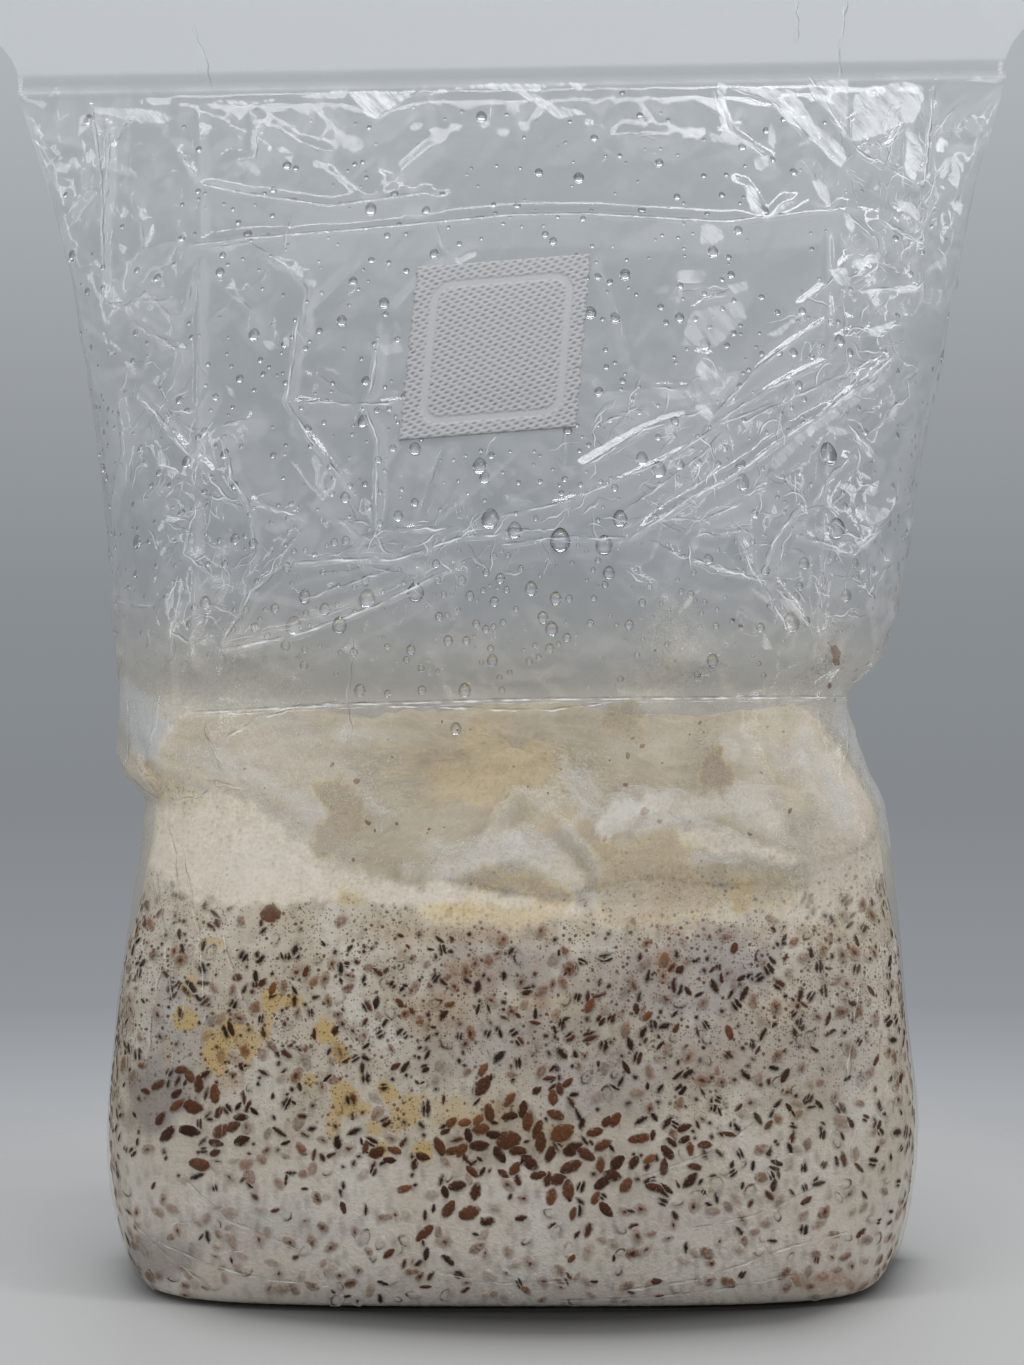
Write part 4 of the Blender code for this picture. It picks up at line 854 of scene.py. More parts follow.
def inside_by(corners):
    """How far each place of the flat tube lies inside a shape with these corners, down to -RIM outside it."""
    ring = on_front(corners + corners[:1])
    found = np.full((Z_CELLS, U_CELLS), -RIM)
    us, zs = [u for u, _ in ring], [z for _, z in ring]
    c0 = max(int((min(us) - RIM + GIRTH / 2) / CELL), 0)
    c1 = min(int((max(us) + RIM + GIRTH / 2) / CELL) + 2, U_CELLS)
    r0, r1 = max(int((min(zs) - RIM) / CELL), 0), min(int((max(zs) + RIM) / CELL) + 2, Z_CELLS)
    pu, pz = grid_u[r0:r1, c0:c1], grid_z[r0:r1, c0:c1]
    away, crossed = away_from(ring, pu, pz, RIM), np.zeros(pu.shape, bool)
    for (ua, za), (ub, zb) in zip(ring, ring[1:]):
        if za != zb:
            crossed ^= ((za > pz) != (zb > pz)) & (pu < (ub - ua) * (pz - za) / (zb - za) + ua)
    found[r0:r1, c0:c1] = np.where(crossed, away, -away)
    return found


# Threads that have grown onto the film over the mat, in sheets: corners (x, z), how thick, how warm
# (0 white, 0.5 cream, 0.75 ochre, 1 tan) and how much light they catch.
SHEETS = [
    (((-100, 152), (-86, 158), (-66, 156), (-50, 150), (-44, 142), (-56, 130), (-70, 126), (-92, 124),
      (-103, 134)), 0.34, 0.46, 0.3, 4),
    (((-100, 122), (-90, 128), (-78, 120), (-60, 116), (-40, 112), (-20, 109), (4, 107), (24, 105.5), (46, 107),
      (70, 108), (94, 108), (92, 116), (40, 112), (-30, 118), (-60, 128)), 0.46, 0.52, 0.35, 3),
    (((-100, 140.7), (-95.4, 139.5), (-85.4, 140.7), (-77.7, 142.5), (-72.3, 140.7), (-63, 129.4),
      (-51.4, 121.7), (-39.1, 118.6), (-17.5, 115.6), (1, 113.7), (18, 111.4), (24.1, 108.6), (7.2, 108.1),
      (-17.5, 109.6), (-39.1, 110.9), (-54.5, 112), (-65.3, 112.3), (-77.7, 111.4), (-88.4, 113.2),
      (-97.7, 117.4), (-101.1, 122.5), (-100.8, 131.8)), 0.72, 0.50, 0.9, 1.6),
    (((-76, 132), (-64, 127), (-52, 121), (-49, 115), (-60, 112.5), (-74, 114), (-80, 122)), 0.85, 0.46, 1.25,
      2.4),
    (((-53.7, 143.3), (-46.8, 144.9), (-40.6, 141), (-40.6, 131.8), (-43.7, 127.9), (-53, 124.8),
      (-54.8, 127.1)), 0.45, 0.90, 0.3, 1.8),
    (((23.3, 133.3), (28.7, 138.7), (36.5, 142.5), (45.7, 141.8), (47.3, 138.7), (38, 136.4), (30.3, 131.8),
      (25.7, 127.9)), 0.50, 0.36, 0.62, 1.6),
    (((45.7, 145.6), (49.6, 143.3), (55, 141), (61.1, 143.3), (63.4, 147.9), (70.4, 141), (76.5, 131.8),
      (68.8, 131.8), (58, 134.1), (47.3, 134.1), (39.5, 131.8), (31.8, 129.4), (38, 136.4)), 0.40, 0.38, 0.40,
      3),
    (((54.2, 154.9), (61.1, 156.4), (62.7, 153.3), (61.1, 145.6), (56.5, 142.9), (51.9, 144.9), (52.6, 151.8)),
      0.60, 1, 0.2, 1.5),
    (((27, 166), (34, 167), (39, 162), (36, 157), (28, 158), (25, 162)), 0.35, 0.80, 0.2, 2),
    (((-19, 121.7), (-9.8, 127.1), (-2.9, 133.3), (7.2, 129.4), (16.4, 123.3), (24.1, 115.6), (23.3, 110.9),
      (14.9, 114.8), (5.6, 121.7), (-2.1, 123.3), (-9.8, 121), (-16, 119.4)), 0.38, 0.38, 0.5, 2.4),
    (((13, 148), (17, 145), (20, 138), (17, 132), (12, 136), (11, 142)), 0.34, 0.32, 0.5, 2.2),
    (((-14.4, 119.4), (-2.1, 121.7), (7.2, 119.4), (16.4, 113.2), (4.1, 114.8), (-8.3, 117.1)), 0.48, 0.86, 0.3,
      1.8),
    (((24.1, 128.7), (31.8, 129.4), (44.2, 133.3), (50.3, 127.9), (53.4, 119.4), (58, 113.2), (50.3, 108.6),
      (31.8, 107.1), (24.9, 110.2), (23.3, 119.4)), 0.46, 0.82, 0.35, 2.6),
    (((45.7, 131.8), (58, 131.8), (68.8, 127.9), (79.6, 124), (76.5, 121.7), (65.8, 124.8), (53.4, 127.1),
      (47.3, 128.7)), 0.55, 0.50, 0.8, 1.2),
    (((82.7, 145.6), (90.4, 158), (95.8, 153.3), (102.8, 136.4), (106.6, 125.6), (99.7, 119.4), (90.4, 113.2),
      (82.7, 114.8), (84.3, 130.2)), 0.36, 0.50, 0.3, 3.4),
    (((58, 119.4), (70, 121), (78, 117), (77, 110), (62, 109)), 0.40, 0.84, 0.3, 2.6),
    (((-29.8, 112.6), (-8.3, 111.2), (16.4, 109.6), (22.6, 107.1), (7.2, 106.6), (-17.5, 107.8),
      (-29.8, 109.8)), 0.55, 0.72, 0.6, 1.6),
    (((-48, 116), (-38, 114.6), (-38, 110), (-50, 110)), 0.40, 0.76, 0.4, 2),
    (((-18, 158), (-2, 160), (18, 150), (14, 138), (-4, 136), (-22, 142)), 0.28, 0.70, 0.5, 6),
    (((-110, 148), (-104, 143), (-98, 139), (-86, 141), (-90, 145), (-100, 149), (-108, 156)), 0.40, 0.66, 0.6,
      1.8),
    (((92, 172), (96, 164), (101, 150), (108, 137), (111, 126), (107, 124), (102, 138), (95, 152), (90, 162)),
      0.30, 0.22, 0.6, 1.6),
    (((80, 164), (87, 156), (92, 143), (95, 130), (91, 132), (86, 144), (79, 156)), 0.26, 0.26, 0.5, 2.4),
    (((60, 160), (72, 158), (80, 150), (70, 148), (58, 152)), 0.24, 0.30, 0.4, 3),
    (((-112, 176), (-104, 170), (-96, 158), (-100, 150), (-110, 158), (-116, 168)), 0.28, 0.14, 0.5, 3),
    (((-92, 158), (-74, 152), (-58, 142), (-52, 136), (-60, 138), (-78, 146), (-94, 152)), 0.30, 0.24, 0.5, 2),
    (((-70, 164), (-40, 162), (-24, 158), (-40, 156), (-66, 158)), 0.24, 0.30, 0.3, 3)]
ragged = 5.0 * cloudy(8.0, 71) - 2.5
bitty = cloudy(3.0, 72)
for corners, thick, colour, light, soft in SHEETS:
    reach = inside_by(corners)
    there = eased(unit(0.5 + reach / (1.3 * soft) + 0.75 * ragged) * unit(1.0 + (reach + 4.0) / 4.0))
    warm += (colour - warm) * there
    lit += (light - lit) * there
    cloud += (thick * (0.72 + 0.5 * bitty) - cloud) * np.where(cloud < thick, there, 0.6 * there)

painted_glare, painted_glare_white = np.full((Z_CELLS, U_CELLS), -RIM), np.zeros((Z_CELLS, U_CELLS))
for corners, white in PAINTED_GLARE:
    here = inside_by(corners)
    # The painted highlights are strongest on the right side and under the seal, which face the light most.
    near_seal = max(z for _, z in corners) > 338.0
    white *= 1.05 if corners[0][0] >= 50 else 0.90 if near_seal else 0.40
    painted_glare_white = np.where(here > painted_glare, white, painted_glare_white)
    painted_glare = np.maximum(painted_glare, here)
# More painted highlights, smaller, wherever the film is crumpled hard.
for _ in range(SMALL_PAINTED_GLARE_TRIES):
    u, z = pick.uniform(-GIRTH / 2.0 + 20.0, GIRTH / 2.0 - 20.0), pick.uniform(172.0, 346.0)
    weight = float(sample(hard * calm, u, z))
    if pick.random() > 1.2 * weight:
        continue
    turn, long, wide = pick.uniform(0.0, math.pi), pick.uniform(3.0, 9.0), pick.uniform(0.8, 2.6)
    shape = ((-1.0, 0.0), (-0.3, pick.uniform(0.5, 1.0)), (0.5, pick.uniform(0.2, 1.0)), (1.0, 0.0),
             (0.2, -pick.uniform(0.4, 1.0)))
    ring = [(math.cos(turn) * long * a - math.sin(turn) * wide * b,
             math.sin(turn) * long * a + math.cos(turn) * wide * b) for a, b in shape]
    place_x = float(np.interp(u, FRONT_U, FRONT_X[min(int(z / 3.0), len(FRONT_Z) - 1)]))
    if abs(u) < 128.0:
        here = inside_by([(place_x + a, z + b) for a, b in ring])
        painted_glare_white = np.where(here > painted_glare, pick.uniform(0.15, 0.45), painted_glare_white)
        painted_glare = np.maximum(painted_glare, here)

# Rows and columns of the film: close together at the base, the seal and the front, wide at the back.
film_z = np.concatenate([[0.0, 0.3, 1.0, 2.2, 4.0, 6.5, 9.5, 13.0, 16.5, 20.0], np.arange(21.5, 130.0, 1.5),
                         np.arange(130.0, SEAL_Z - 0.9, 1.08), [351.2, 352.0, 352.8, 354.4, 356.0, 356.8, 358.0],
                         np.arange(362.0, BAG_Z, 4.0), [BAG_Z]])
edge_u = (PANEL + GUSSET) / 2.0
front_u = np.concatenate([np.linspace(-edge_u, -PANEL / 2.0, 54)[:-1], np.linspace(-PANEL / 2.0, PANEL / 2.0, 220),
                          np.linspace(PANEL / 2.0, edge_u, 54)[1:]])
back_u = np.concatenate([np.linspace(edge_u, edge_u + GUSSET / 2.0, 22)[:-1],
                         np.linspace(edge_u + GUSSET / 2.0, GIRTH - edge_u - GUSSET / 2.0, 80),
                         np.linspace(GIRTH - edge_u - GUSSET / 2.0, GIRTH - edge_u, 22)[1:]])


def film_grid(z, u):
    """Points of the crumpled film, and the directions out of it."""
    base = wall_grid(z, u, 0.0)
    normals = grid_normals(base)
    uu, zz = np.meshgrid(u, z)
    rise = sample(relief, uu, zz)
    # The crumple dies out where the two panels meet, and it goes in very little against the block.
    depth = unit(np.abs(base[..., 1]) / 8.0 + np.clip(np.abs(base[..., 0]) - 90.0, 0.0, 30.0) / 60.0)
    rise = rise * np.where(zz > 300.0, depth, 1.0)
    rise = np.where(zz < 150.0, np.maximum(rise, -0.45), rise)
    points = base + normals * rise[..., None]
    return points, grid_normals(points)


film_clear, f_look = new_material("film_clear")
f_place = f_look.node("TexCoord").outputs["Object"]
f_ripple = f_look.node("TexNoise", Scale=70.0, Detail=2.0, Vector=f_place)
f_split = f_look.node("SeparateXYZ", f_place)
f_flat = f_look.node("CombineXYZ", X=f_split.outputs["X"], Y=f_split.outputs["Z"])
f_fine = f_look.node("TexVoronoi", Scale=170.0, voronoi_dimensions="2D", Vector=f_flat)
f_hard = f_look.area("hard")
f_fold = f_look.times(f_fine.outputs["Distance"], f_hard)
f_high = f_look.plus(f_look.times(f_fold, 0.9), f_look.times(f_ripple.outputs["Fac"], 0.5))
# Flat facets, each tipped its own way, with edges bent by a slow ripple.
f_sway = f_look.node("TexNoise", Scale=45.0, Detail=1.0, Vector=f_place)
f_bent = f_look.node("VectorMath", f_sway.outputs["Color"], (0.016, 0.016, 0.016), f_flat,
                     operation="MULTIPLY_ADD")
f_normal = f_look.node("NewGeometry").outputs["Normal"]
for scale, tip in ((62.0, 0.30), (150.0, 0.34)):
    f_cell = f_look.node("TexVoronoi", Scale=scale, voronoi_dimensions="2D", Vector=f_bent)
    f_way = f_look.node("VectorMath", f_cell.outputs["Color"], (0.5, 0.5, 0.5), operation="SUBTRACT")
    f_tip = f_look.node("VectorMath", f_way, operation="SCALE", Scale=f_look.times(f_hard, tip))
    f_normal = f_look.node("VectorMath", f_normal, f_tip)
f_unit = f_look.node("VectorMath", f_normal, operation="NORMALIZE")
f_bump = f_look.node("Bump", Strength=0.5, Distance=0.0010, Height=f_high, Normal=f_unit)
f_edge = f_look.node("LayerWeight", Blend=0.5, Normal=f_bump)
f_graze = f_look.math("POWER", f_edge.outputs["Facing"], 4.0)
f_shine = f_look.math("MULTIPLY_ADD", f_graze, 0.55, 0.035)
f_gleam = f_look.area("shine")
f_shine = f_look.times(f_shine, f_gleam)
f_warm = f_look.area("warm")
f_stain = f_look.blend(f_look.times(f_warm, 2.0, clamp=True), (0.940, 0.945, 0.950), (0.965, 0.955, 0.925))
f_clear = f_look.node("BsdfTransparent", Color=f_look.blend(f_look.area("dim"), f_stain, (0.36, 0.37, 0.39)))
f_gloss = f_look.node("BsdfGlossy", Color=(1.0, 1.0, 1.0), Roughness=0.085, Normal=f_bump)
f_sheet = f_look.node("MixShader", f_shine, f_clear, f_gloss)
f_shade = f_look.ramp(f_warm, [
    (0.0, (0.80, 0.82, 0.84)), (0.30, (0.70, 0.67, 0.61)), (0.50, (0.66, 0.59, 0.475)),
    (0.72, (0.60, 0.48, 0.28)), (0.86, (0.42, 0.34, 0.23)), (1.0, (0.34, 0.27, 0.20))])
f_veil = f_look.times(f_gleam, 0.03)
# The painted glare areas have sharp edges and are streaked inside.
f_glare, f_glow = f_look.area("painted_glare"), f_look.area("painted_glare_white")
f_lay = f_look.node("Mapping", vector_type="TEXTURE", Rotation=(0.0, 0.0, 0.7), Scale=(1.0, 4.0, 1.0),
                    Vector=f_flat)
f_streak = f_look.node("TexNoise", Scale=420.0, Detail=3.0, Roughness=0.6, Vector=f_lay)
f_rag = f_look.plus(f_glare, f_look.times(f_look.minus(f_streak.outputs["Fac"], 0.5), 2.0))
f_painted_sheen = f_look.times(f_rag, 1.6, clamp=True)
f_inner = f_look.math("MULTIPLY_ADD", f_streak.outputs["Fac"], 3.4, -0.95, clamp=True)
f_painted_sheen = f_look.times(f_look.times(f_painted_sheen, f_glow), f_inner)
# What faces the light more than the panel as a whole does is shaded as if it leaned back.
f_lean = f_look.node("CombineXYZ", Z=f_look.plus(f_look.area("lit"), f_look.times(f_painted_sheen, 1.3)))
f_leant = f_look.node("VectorMath", f_look.node("NewGeometry").outputs["Normal"], f_lean)
f_upright = f_look.node("VectorMath", f_leant, operation="NORMALIZE")
f_white = f_look.node("BsdfPrincipled", Roughness=0.5, Base_Color=f_shade, Normal=f_upright)
# The sheets of threads are fine and bitty.
f_bits = f_look.node("TexNoise", Scale=950.0, Detail=4.0, Roughness=0.7, Vector=f_place)
f_uneven = f_look.times(f_look.minus(f_bits.outputs["Fac"], 0.5), f_warm)
f_sown = f_look.times(f_look.area("cloud"), f_look.plus(f_look.times(f_uneven, 3.6), 1.0))
f_haze = f_look.plus(f_look.plus(f_sown, f_painted_sheen), f_veil, clamp=True)
f_mix = f_look.node("MixShader", f_haze, f_sheet, f_white)
f_path = f_look.node("LightPath")
f_thin = f_look.node("BsdfTransparent", Color=(0.86, 0.865, 0.87))
f_unseen = f_look.math("MAXIMUM", f_path.outputs["Is Shadow Ray"], f_path.outputs["Is Diffuse Ray"])
f_last = f_look.node("MixShader", f_unseen, f_mix, f_thin)
f_look.surface(f_last)


def grid_faces(rows, columns, closed=False):
    """Four-sided faces of a grid of points, joined round if it is closed."""
    r = np.arange(rows - 1)[:, None]
    c = np.arange(columns if closed else columns - 1)[None, :]
    d = (c + 1) % columns
    return np.stack([r * columns + c, r * columns + d, (r + 1) * columns + d, (r + 1) * columns + c],
                    axis=-1).reshape(-1, 4)


def film_values(count, **given):
    """What a piece of film carries at each of its points; what is not given is plain."""
    plain = {"cloud": 0.1, "shine": 0.2, "hard": 0.0, "painted_glare": -3.0, "painted_glare_white": 0.0, "warm": 0.5, "lit": 0.0,
             "dim": 0.0}
    return {name: np.broadcast_to(np.ravel(given.get(name, value)), count) for name, value in plain.items()}


front_skin_points, front_skin_out = film_grid(film_z, front_u)
over_film = {"cloud": cloud, "shine": shine, "hard": unit(hard * calm * 1.2 - 0.1), "painted_glare": painted_glare, "painted_glare_white": painted_glare_white,
             "warm": warm, "lit": lit}
for name, columns in (("film_front", front_u), ("film_back", back_u)):
    points, _ = film_grid(film_z, columns)
    uu, zz = np.meshgrid(columns, film_z)
    film = new_mesh(name, points, grid_faces(*points.shape[:2]), film_clear, values=film_values(
        uu.size, **{key: sample(field, uu, zz) for key, field in over_film.items()}))
    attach(film, "root")
    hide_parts("bag_film")

foot_front, foot_back = wall_grid([0.0], front_u, 0.0)[0], wall_grid([0.0], back_u, 0.0)[0]
foot_ring = np.concatenate([foot_front, foot_back[1:-1]])
foot_points = np.concatenate([foot_ring, [(0.0, 0.0, 0.0)]])
foot_faces = [(len(foot_ring), (i + 1) % len(foot_ring), i) for i in range(len(foot_ring))]
film_base = new_mesh("film_base", foot_points, foot_faces, film_clear, values=film_values(len(foot_points)))
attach(film_base, "root")
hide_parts("bag_film")


def film_points(u, z, off):
    """Points on the front of the film at places (u, z), moved off it along its normal, and that normal."""
    u, z = np.asarray(u, float), np.asarray(z, float)
    i, j = step_of(film_z, z), step_of(front_u, u)
    fz = ((z - film_z[i]) / (film_z[i + 1] - film_z[i]))[:, None]
    fu = ((u - front_u[j]) / (front_u[j + 1] - front_u[j]))[:, None]
    out = one_long(between(front_skin_out, i, j, j + 1, fz, fu))
    return between(front_skin_points, i, j, j + 1, fz, fu) + out * off, out


# Creases: the film is stretched white along the line of each sharp fold and painted whiter there as a highlight,
# with a painted dark line beside it for shade.
crease_points, crease_faces, crease_white_and_sheen, crease_painted_dark = [], [], [], []


def add_crease(line, width, white, dim=0.0, shift=0.0, off=0.10):
    """A narrow line on the film along places (u, z); its width and whiteness vary, and it breaks here and there."""
    line = np.array(line, float)
    far = np.concatenate([[0.0], np.cumsum(np.hypot(*np.diff(line, axis=0).T))])
    count = max(int(far[-1] / 1.1), 3)
    t = np.linspace(0.0, far[-1], count)
    u, z = np.interp(t, far, line[:, 0]), np.interp(t, far, line[:, 1])
    phase = pick.uniform(0.0, 9.0)
    sway = (0.35 * np.sin(t * 0.55 + phase) + 0.25 * np.sin(t * 1.3 + 2.0 * phase)) * min(1.0, 20.0 / far[-1])
    along = one_long(np.stack([np.gradient(u), np.gradient(z)], axis=-1))
    side = np.stack([-along[:, 1], along[:, 0]], axis=-1)
    taper = np.clip(np.minimum(t, far[-1] - t) / 3.0, 0.12, 1.0)
    half = 0.5 * width * taper * (0.75 + 0.45 * np.sin(t * 0.8 + 3.0 * phase) * np.sin(t * 0.23 + phase))
    u, z = u + side[:, 0] * (sway + shift), z + side[:, 1] * (sway + shift)
    if z.max() > BAG_Z - 2.0 or np.abs(u).max() > edge_u - 1.0:
        return
    one, _ = film_points(u - side[:, 0] * half, z - side[:, 1] * half, off)
    two, _ = film_points(u + side[:, 0] * half, z + side[:, 1] * half, off)
    start = sum(len(p) for p in crease_points)
    crease_points.append(np.stack([one, two], axis=1).reshape(-1, 3))
    crease_faces.extend((k, k + 1, k + 3, k + 2) for k in range(start, start + 2 * count - 2, 2))
    vary = np.clip(0.62 + 0.55 * np.sin(t * 0.37 + 5.0 * phase) + 0.3 * np.sin(t * 1.1 + phase), 0.05, 1.0)
    crease_white_and_sheen.append(np.repeat(white * vary, 2))
    crease_painted_dark.append(np.repeat(dim * vary, 2))


for line, height, width, back_width, white in MAIN_FOLDS:
    places = on_front(line)
    middle_x, middle_z = np.mean(line, axis=0)
    # The crease whiteness, partly painted highlight, is fainter at the upper left of the panel.
    white *= 0.62 if middle_x < 50.0 and middle_z > 255.0 else 1.15
    add_crease(places, 0.38 + 0.12 * abs(height), min(1.7 * white, 0.80))
    add_crease(places, 0.45, 0.0, 0.46, shift=0.60, off=0.08)
    if height > 1.0:
        add_crease(places, 0.28, white, shift=-0.30 * width)
    if height > 1.4:
        add_crease(places, 0.28, 0.9 * white, shift=0.34 * back_width)
for line, weight in small_folds:
    add_crease(line, 0.22 + 0.2 * weight, 0.14 + 0.50 * weight)
    if weight > 0.3:
        add_crease(line, 0.32, 0.0, 0.38, shift=0.45, off=0.08)
crease_all = np.concatenate(crease_points)
creases = new_mesh("film_creases", crease_all, crease_faces, film_clear, values=film_values(
    len(crease_all), cloud=np.concatenate(crease_white_and_sheen), dim=np.concatenate(crease_painted_dark), shine=0.4, lit=0.7,
    warm=0.3 * unit((176.0 - crease_all[:, 2]) / 22.0)))
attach(creases, "root")
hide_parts("bag_film")


# Filter patch: a square of white spunbonded polypropylene with an embossed dimple pattern, held to
# the front panel by a welded ring and bare of glue outside it.
PATCH_W, PATCH_H = 50.0, 52.0
PATCH_OFF, PATCH_THICK = 0.3, 0.8
PATCH_TURN, PATCH_LEAN = math.radians(4.5), math.radians(5.0)
WELD_IN, WELD_WIDE, WELD_CORNER = 5.6, 2.2, 5.0

across_mm = np.linspace(-PATCH_W / 2.0, PATCH_W / 2.0, 176)
up_mm = np.linspace(-PATCH_H / 2.0, PATCH_H / 2.0, 182)
pa, pu = np.meshgrid(across_mm, up_mm)
wave = np.random.default_rng(21)
fray = 0.25 * np.sin(pu * 0.9 + 1.0) + 0.18 * np.sin(pu * 2.3) + 0.1 * np.sin(pu * 5.1)
pa_bent = pa + fray * np.abs(pa) / (PATCH_W / 2.0) * (np.abs(pa) > PATCH_W / 2.0 - 2.0)
patch_x = PATCH_X + pa_bent * math.cos(PATCH_TURN) + pu * math.sin(PATCH_LEAN)
patch_z = PATCH_Z + pa_bent * math.sin(PATCH_TURN) + pu * math.cos(PATCH_LEAN)


def front_surface(x, z):
    """Points of the smooth front panel at places (x, z), and the directions out of it."""
    heights = np.arange(130.0, 350.0, 2.0)
    columns = np.linspace(-110.0, 110.0, 221)
    base = wall_grid(heights, columns, 0.0)
    shape = np.shape(x)
    x, z = np.ravel(x), np.ravel(z)
    i = np.clip(((z - heights[0]) / 2.0).astype(int), 0, len(heights) - 2)
    f = (z - heights[i]) / 2.0
    y = np.zeros(len(x))
    for row in np.unique(i):
        here = i == row
        low = np.interp(x[here], base[row, :, 0], base[row, :, 1])
        high = np.interp(x[here], base[row + 1, :, 0], base[row + 1, :, 1])
        y[here] = low + f[here] * (high - low)
    points = np.stack([x, y, z + tilt(x, z)], axis=-1)
    lean = np.gradient(through_rows(FRONT, np.arange(0.0, 405.0)))
    lean = np.interp(z, np.arange(0.0, 405.0), lean)
    out = one_long(np.stack([np.zeros(len(x)), -np.ones(len(x)), -lean], axis=-1))
    return points.reshape(*shape, 3), out.reshape(*shape, 3)


def rounded_box(a, u, half_a, half_u, corner):
    """Distance outside a rounded rectangle, negative inside it."""
    qa, qu = np.abs(a) - half_a + corner, np.abs(u) - half_u + corner
    return np.hypot(np.maximum(qa, 0.0), np.maximum(qu, 0.0)) + np.minimum(np.maximum(qa, qu), 0.0) - corner


ring_away = np.abs(rounded_box(pa - 0.4, pu + 0.6, PATCH_W / 2.0 - WELD_IN, PATCH_H / 2.0 - WELD_IN, WELD_CORNER))
in_weld = unit((WELD_WIDE / 2.0 + 0.25 - ring_away) / 0.5)
# Dimples lie in rows that climb to the right, each row half a step along from the next.
row_turn = math.radians(13.0)
da = pa * math.cos(row_turn) + pu * math.sin(row_turn)
du = -pa * math.sin(row_turn) + pu * math.cos(row_turn)
row_n = np.round(du / 1.25)
off_a = (da / 2.55 + 0.5 * (row_n % 2) + 0.06 * np.sin(row_n * 2.1))
off_a = (off_a - np.round(off_a)) * 2.55
off_u = du - row_n * 1.25
dimple = np.exp(-((off_a / 0.72) ** 2 + (off_u / 0.30) ** 2) ** 1.5)
face = PATCH_THICK * 0.55 - 0.34 * dimple * (1.0 - in_weld) - 0.30 * in_weld
face += 0.25 * unit(-rounded_box(pa, pu, PATCH_W / 2.0 - WELD_IN - 2.0, PATCH_H / 2.0 - WELD_IN - 2.0, 4.0) / 6.0)
face += 0.04 * wave.standard_normal(pa.shape) * (1.0 - in_weld)
edge_drop = unit(np.minimum(PATCH_W / 2.0 - np.abs(pa), PATCH_H / 2.0 - np.abs(pu)) / 0.5)
on_film, off_film = front_surface(patch_x, patch_z)
front_skin = on_film + off_film * (PATCH_OFF + 0.15 + face * (0.4 + 0.6 * edge_drop))[..., None]
back_skin = on_film + off_film * PATCH_OFF

filter_white, p_look = new_material("filter_white")
p_place = p_look.node("TexCoord").outputs["Object"]
p_fibre = p_look.node("TexNoise", Scale=1400.0, Detail=2.0, Vector=p_place)
# Painted shade: the dimples are coloured darker than the flat fabric round them.
p_painted_dimple_shade = p_look.ramp(p_look.area("dimple"), [(0.0, (0.43, 0.43, 0.435)), (1.0, (0.22, 0.22, 0.225))])
p_tone = p_look.blend(p_look.times(p_fibre.outputs["Fac"], 0.35), p_painted_dimple_shade, (0.52, 0.52, 0.52))
p_bump = p_look.node("Bump", Strength=0.4, Distance=0.0002, Height=p_fibre.outputs["Fac"])
p_cloth = p_look.node("BsdfPrincipled", Roughness=0.8, Base_Color=p_tone, Normal=p_bump)
p_look.surface(p_cloth)

rows, columns = pa.shape
front_faces, back_faces = grid_faces(rows, columns), grid_faces(rows, columns)[:, ::-1] + rows * columns
rim = np.concatenate([np.arange(columns), np.arange(2, rows + 1) * columns - 1,
                      np.arange(rows * columns - 2, (rows - 1) * columns - 1, -1),
                      np.arange(rows - 2, 0, -1) * columns])
ahead = np.roll(rim, -1)
rim_faces = np.stack([ahead, rim, rim + rows * columns, ahead + rows * columns], axis=-1)
patch = new_mesh("patch_fabric", np.concatenate([front_skin.reshape(-1, 3), back_skin.reshape(-1, 3)]),
                 np.concatenate([front_faces, back_faces, rim_faces]), filter_white,
                 values={"dimple": np.concatenate([(dimple * (1.0 - in_weld)).ravel(), np.zeros(pa.size)])})
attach(patch, "root")
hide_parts("filter_patch")


# Grain block: rye grain grown through by white threads, so that it is one firm loaf pressed flat
# against the film, with a matted cream top that slopes up to the back.
BLOCK_IN = 0.9              # how far inside the film's outline the loaf lies
SHOULDER_Z, LOW_TOP = 112.0, 99.5
NECK_X, NECK_Z = -103.4, 139.0  # above this height the loaf goes no further left than this
PANEL_AWAY = 50.0           # the front panel lies this far before the middle of the bag


def block_top(x, y):
    """Height of the loaf's top: low in front, high at the back, lifted at both ends."""
    share = unit((y + 61.0) / 91.5)
    side = x / 118.5
    lift = 34.0 * min(max(-side - 0.25, 0.0) / 0.5, 1.0) ** 1.5 + 12.0 * max(side, 0.0) ** 2
    front = SHOULDER_Z - 2.0 + lift
    return front + (163.0 - front) * share ** 0.8 + 5.0 * noise.noise(Vector((x, y, 0.0)) / 34.0)


def many_noise(points, size, seed, octaves=3):
    """Smooth noise at points in millimetres, between about -1 and 1."""
    return np.array([noise.fractal(Vector(p) / size + Vector((seed, seed * 1.7, 0.0)), 0.6, 2.0, octaves)
                     for p in points.reshape(-1, 3)]).reshape(points.shape[:-1])


block_u = np.concatenate([front_u[:-1], back_u[:-1]])
low_z = np.concatenate([[0.0, 0.4, 1.2, 2.6, 4.6, 7.2, 10.4, 14.0, 17.0, 20.0], np.arange(21.4, LOW_TOP, 1.4)])
wall_low = wall_grid(low_z, block_u, BLOCK_IN)
wall_low[..., 2] += BLOCK_IN * unit(1.0 - low_z / FOOT_RISE)[:, None]
rise_rows, top_rows = 34, 46
rim_xy = wall([104.0], block_u, BLOCK_IN + 1.2)[0]
rim_top = np.array([block_top(x, y) for x, y in rim_xy])
all_z = np.arange(96.0, 172.0, 1.0)
tall = wall(all_z, block_u, BLOCK_IN)
narrow = np.hypot(tall[..., 0], tall[..., 1])
for k in range(2, len(all_z) - 2):
    pinch = narrow[k - 2:k + 3].min(axis=0) / np.hypot(tall[k, :, 0], tall[k, :, 1])
    ease = 1.0 - 1.4 * unit((all_z[k] - 98.0) / 14.0) / narrow[k]
    tall[k] *= (np.minimum(pinch, 1.0) * ease)[:, None]
wall_high = np.zeros((rise_rows, len(block_u), 3))
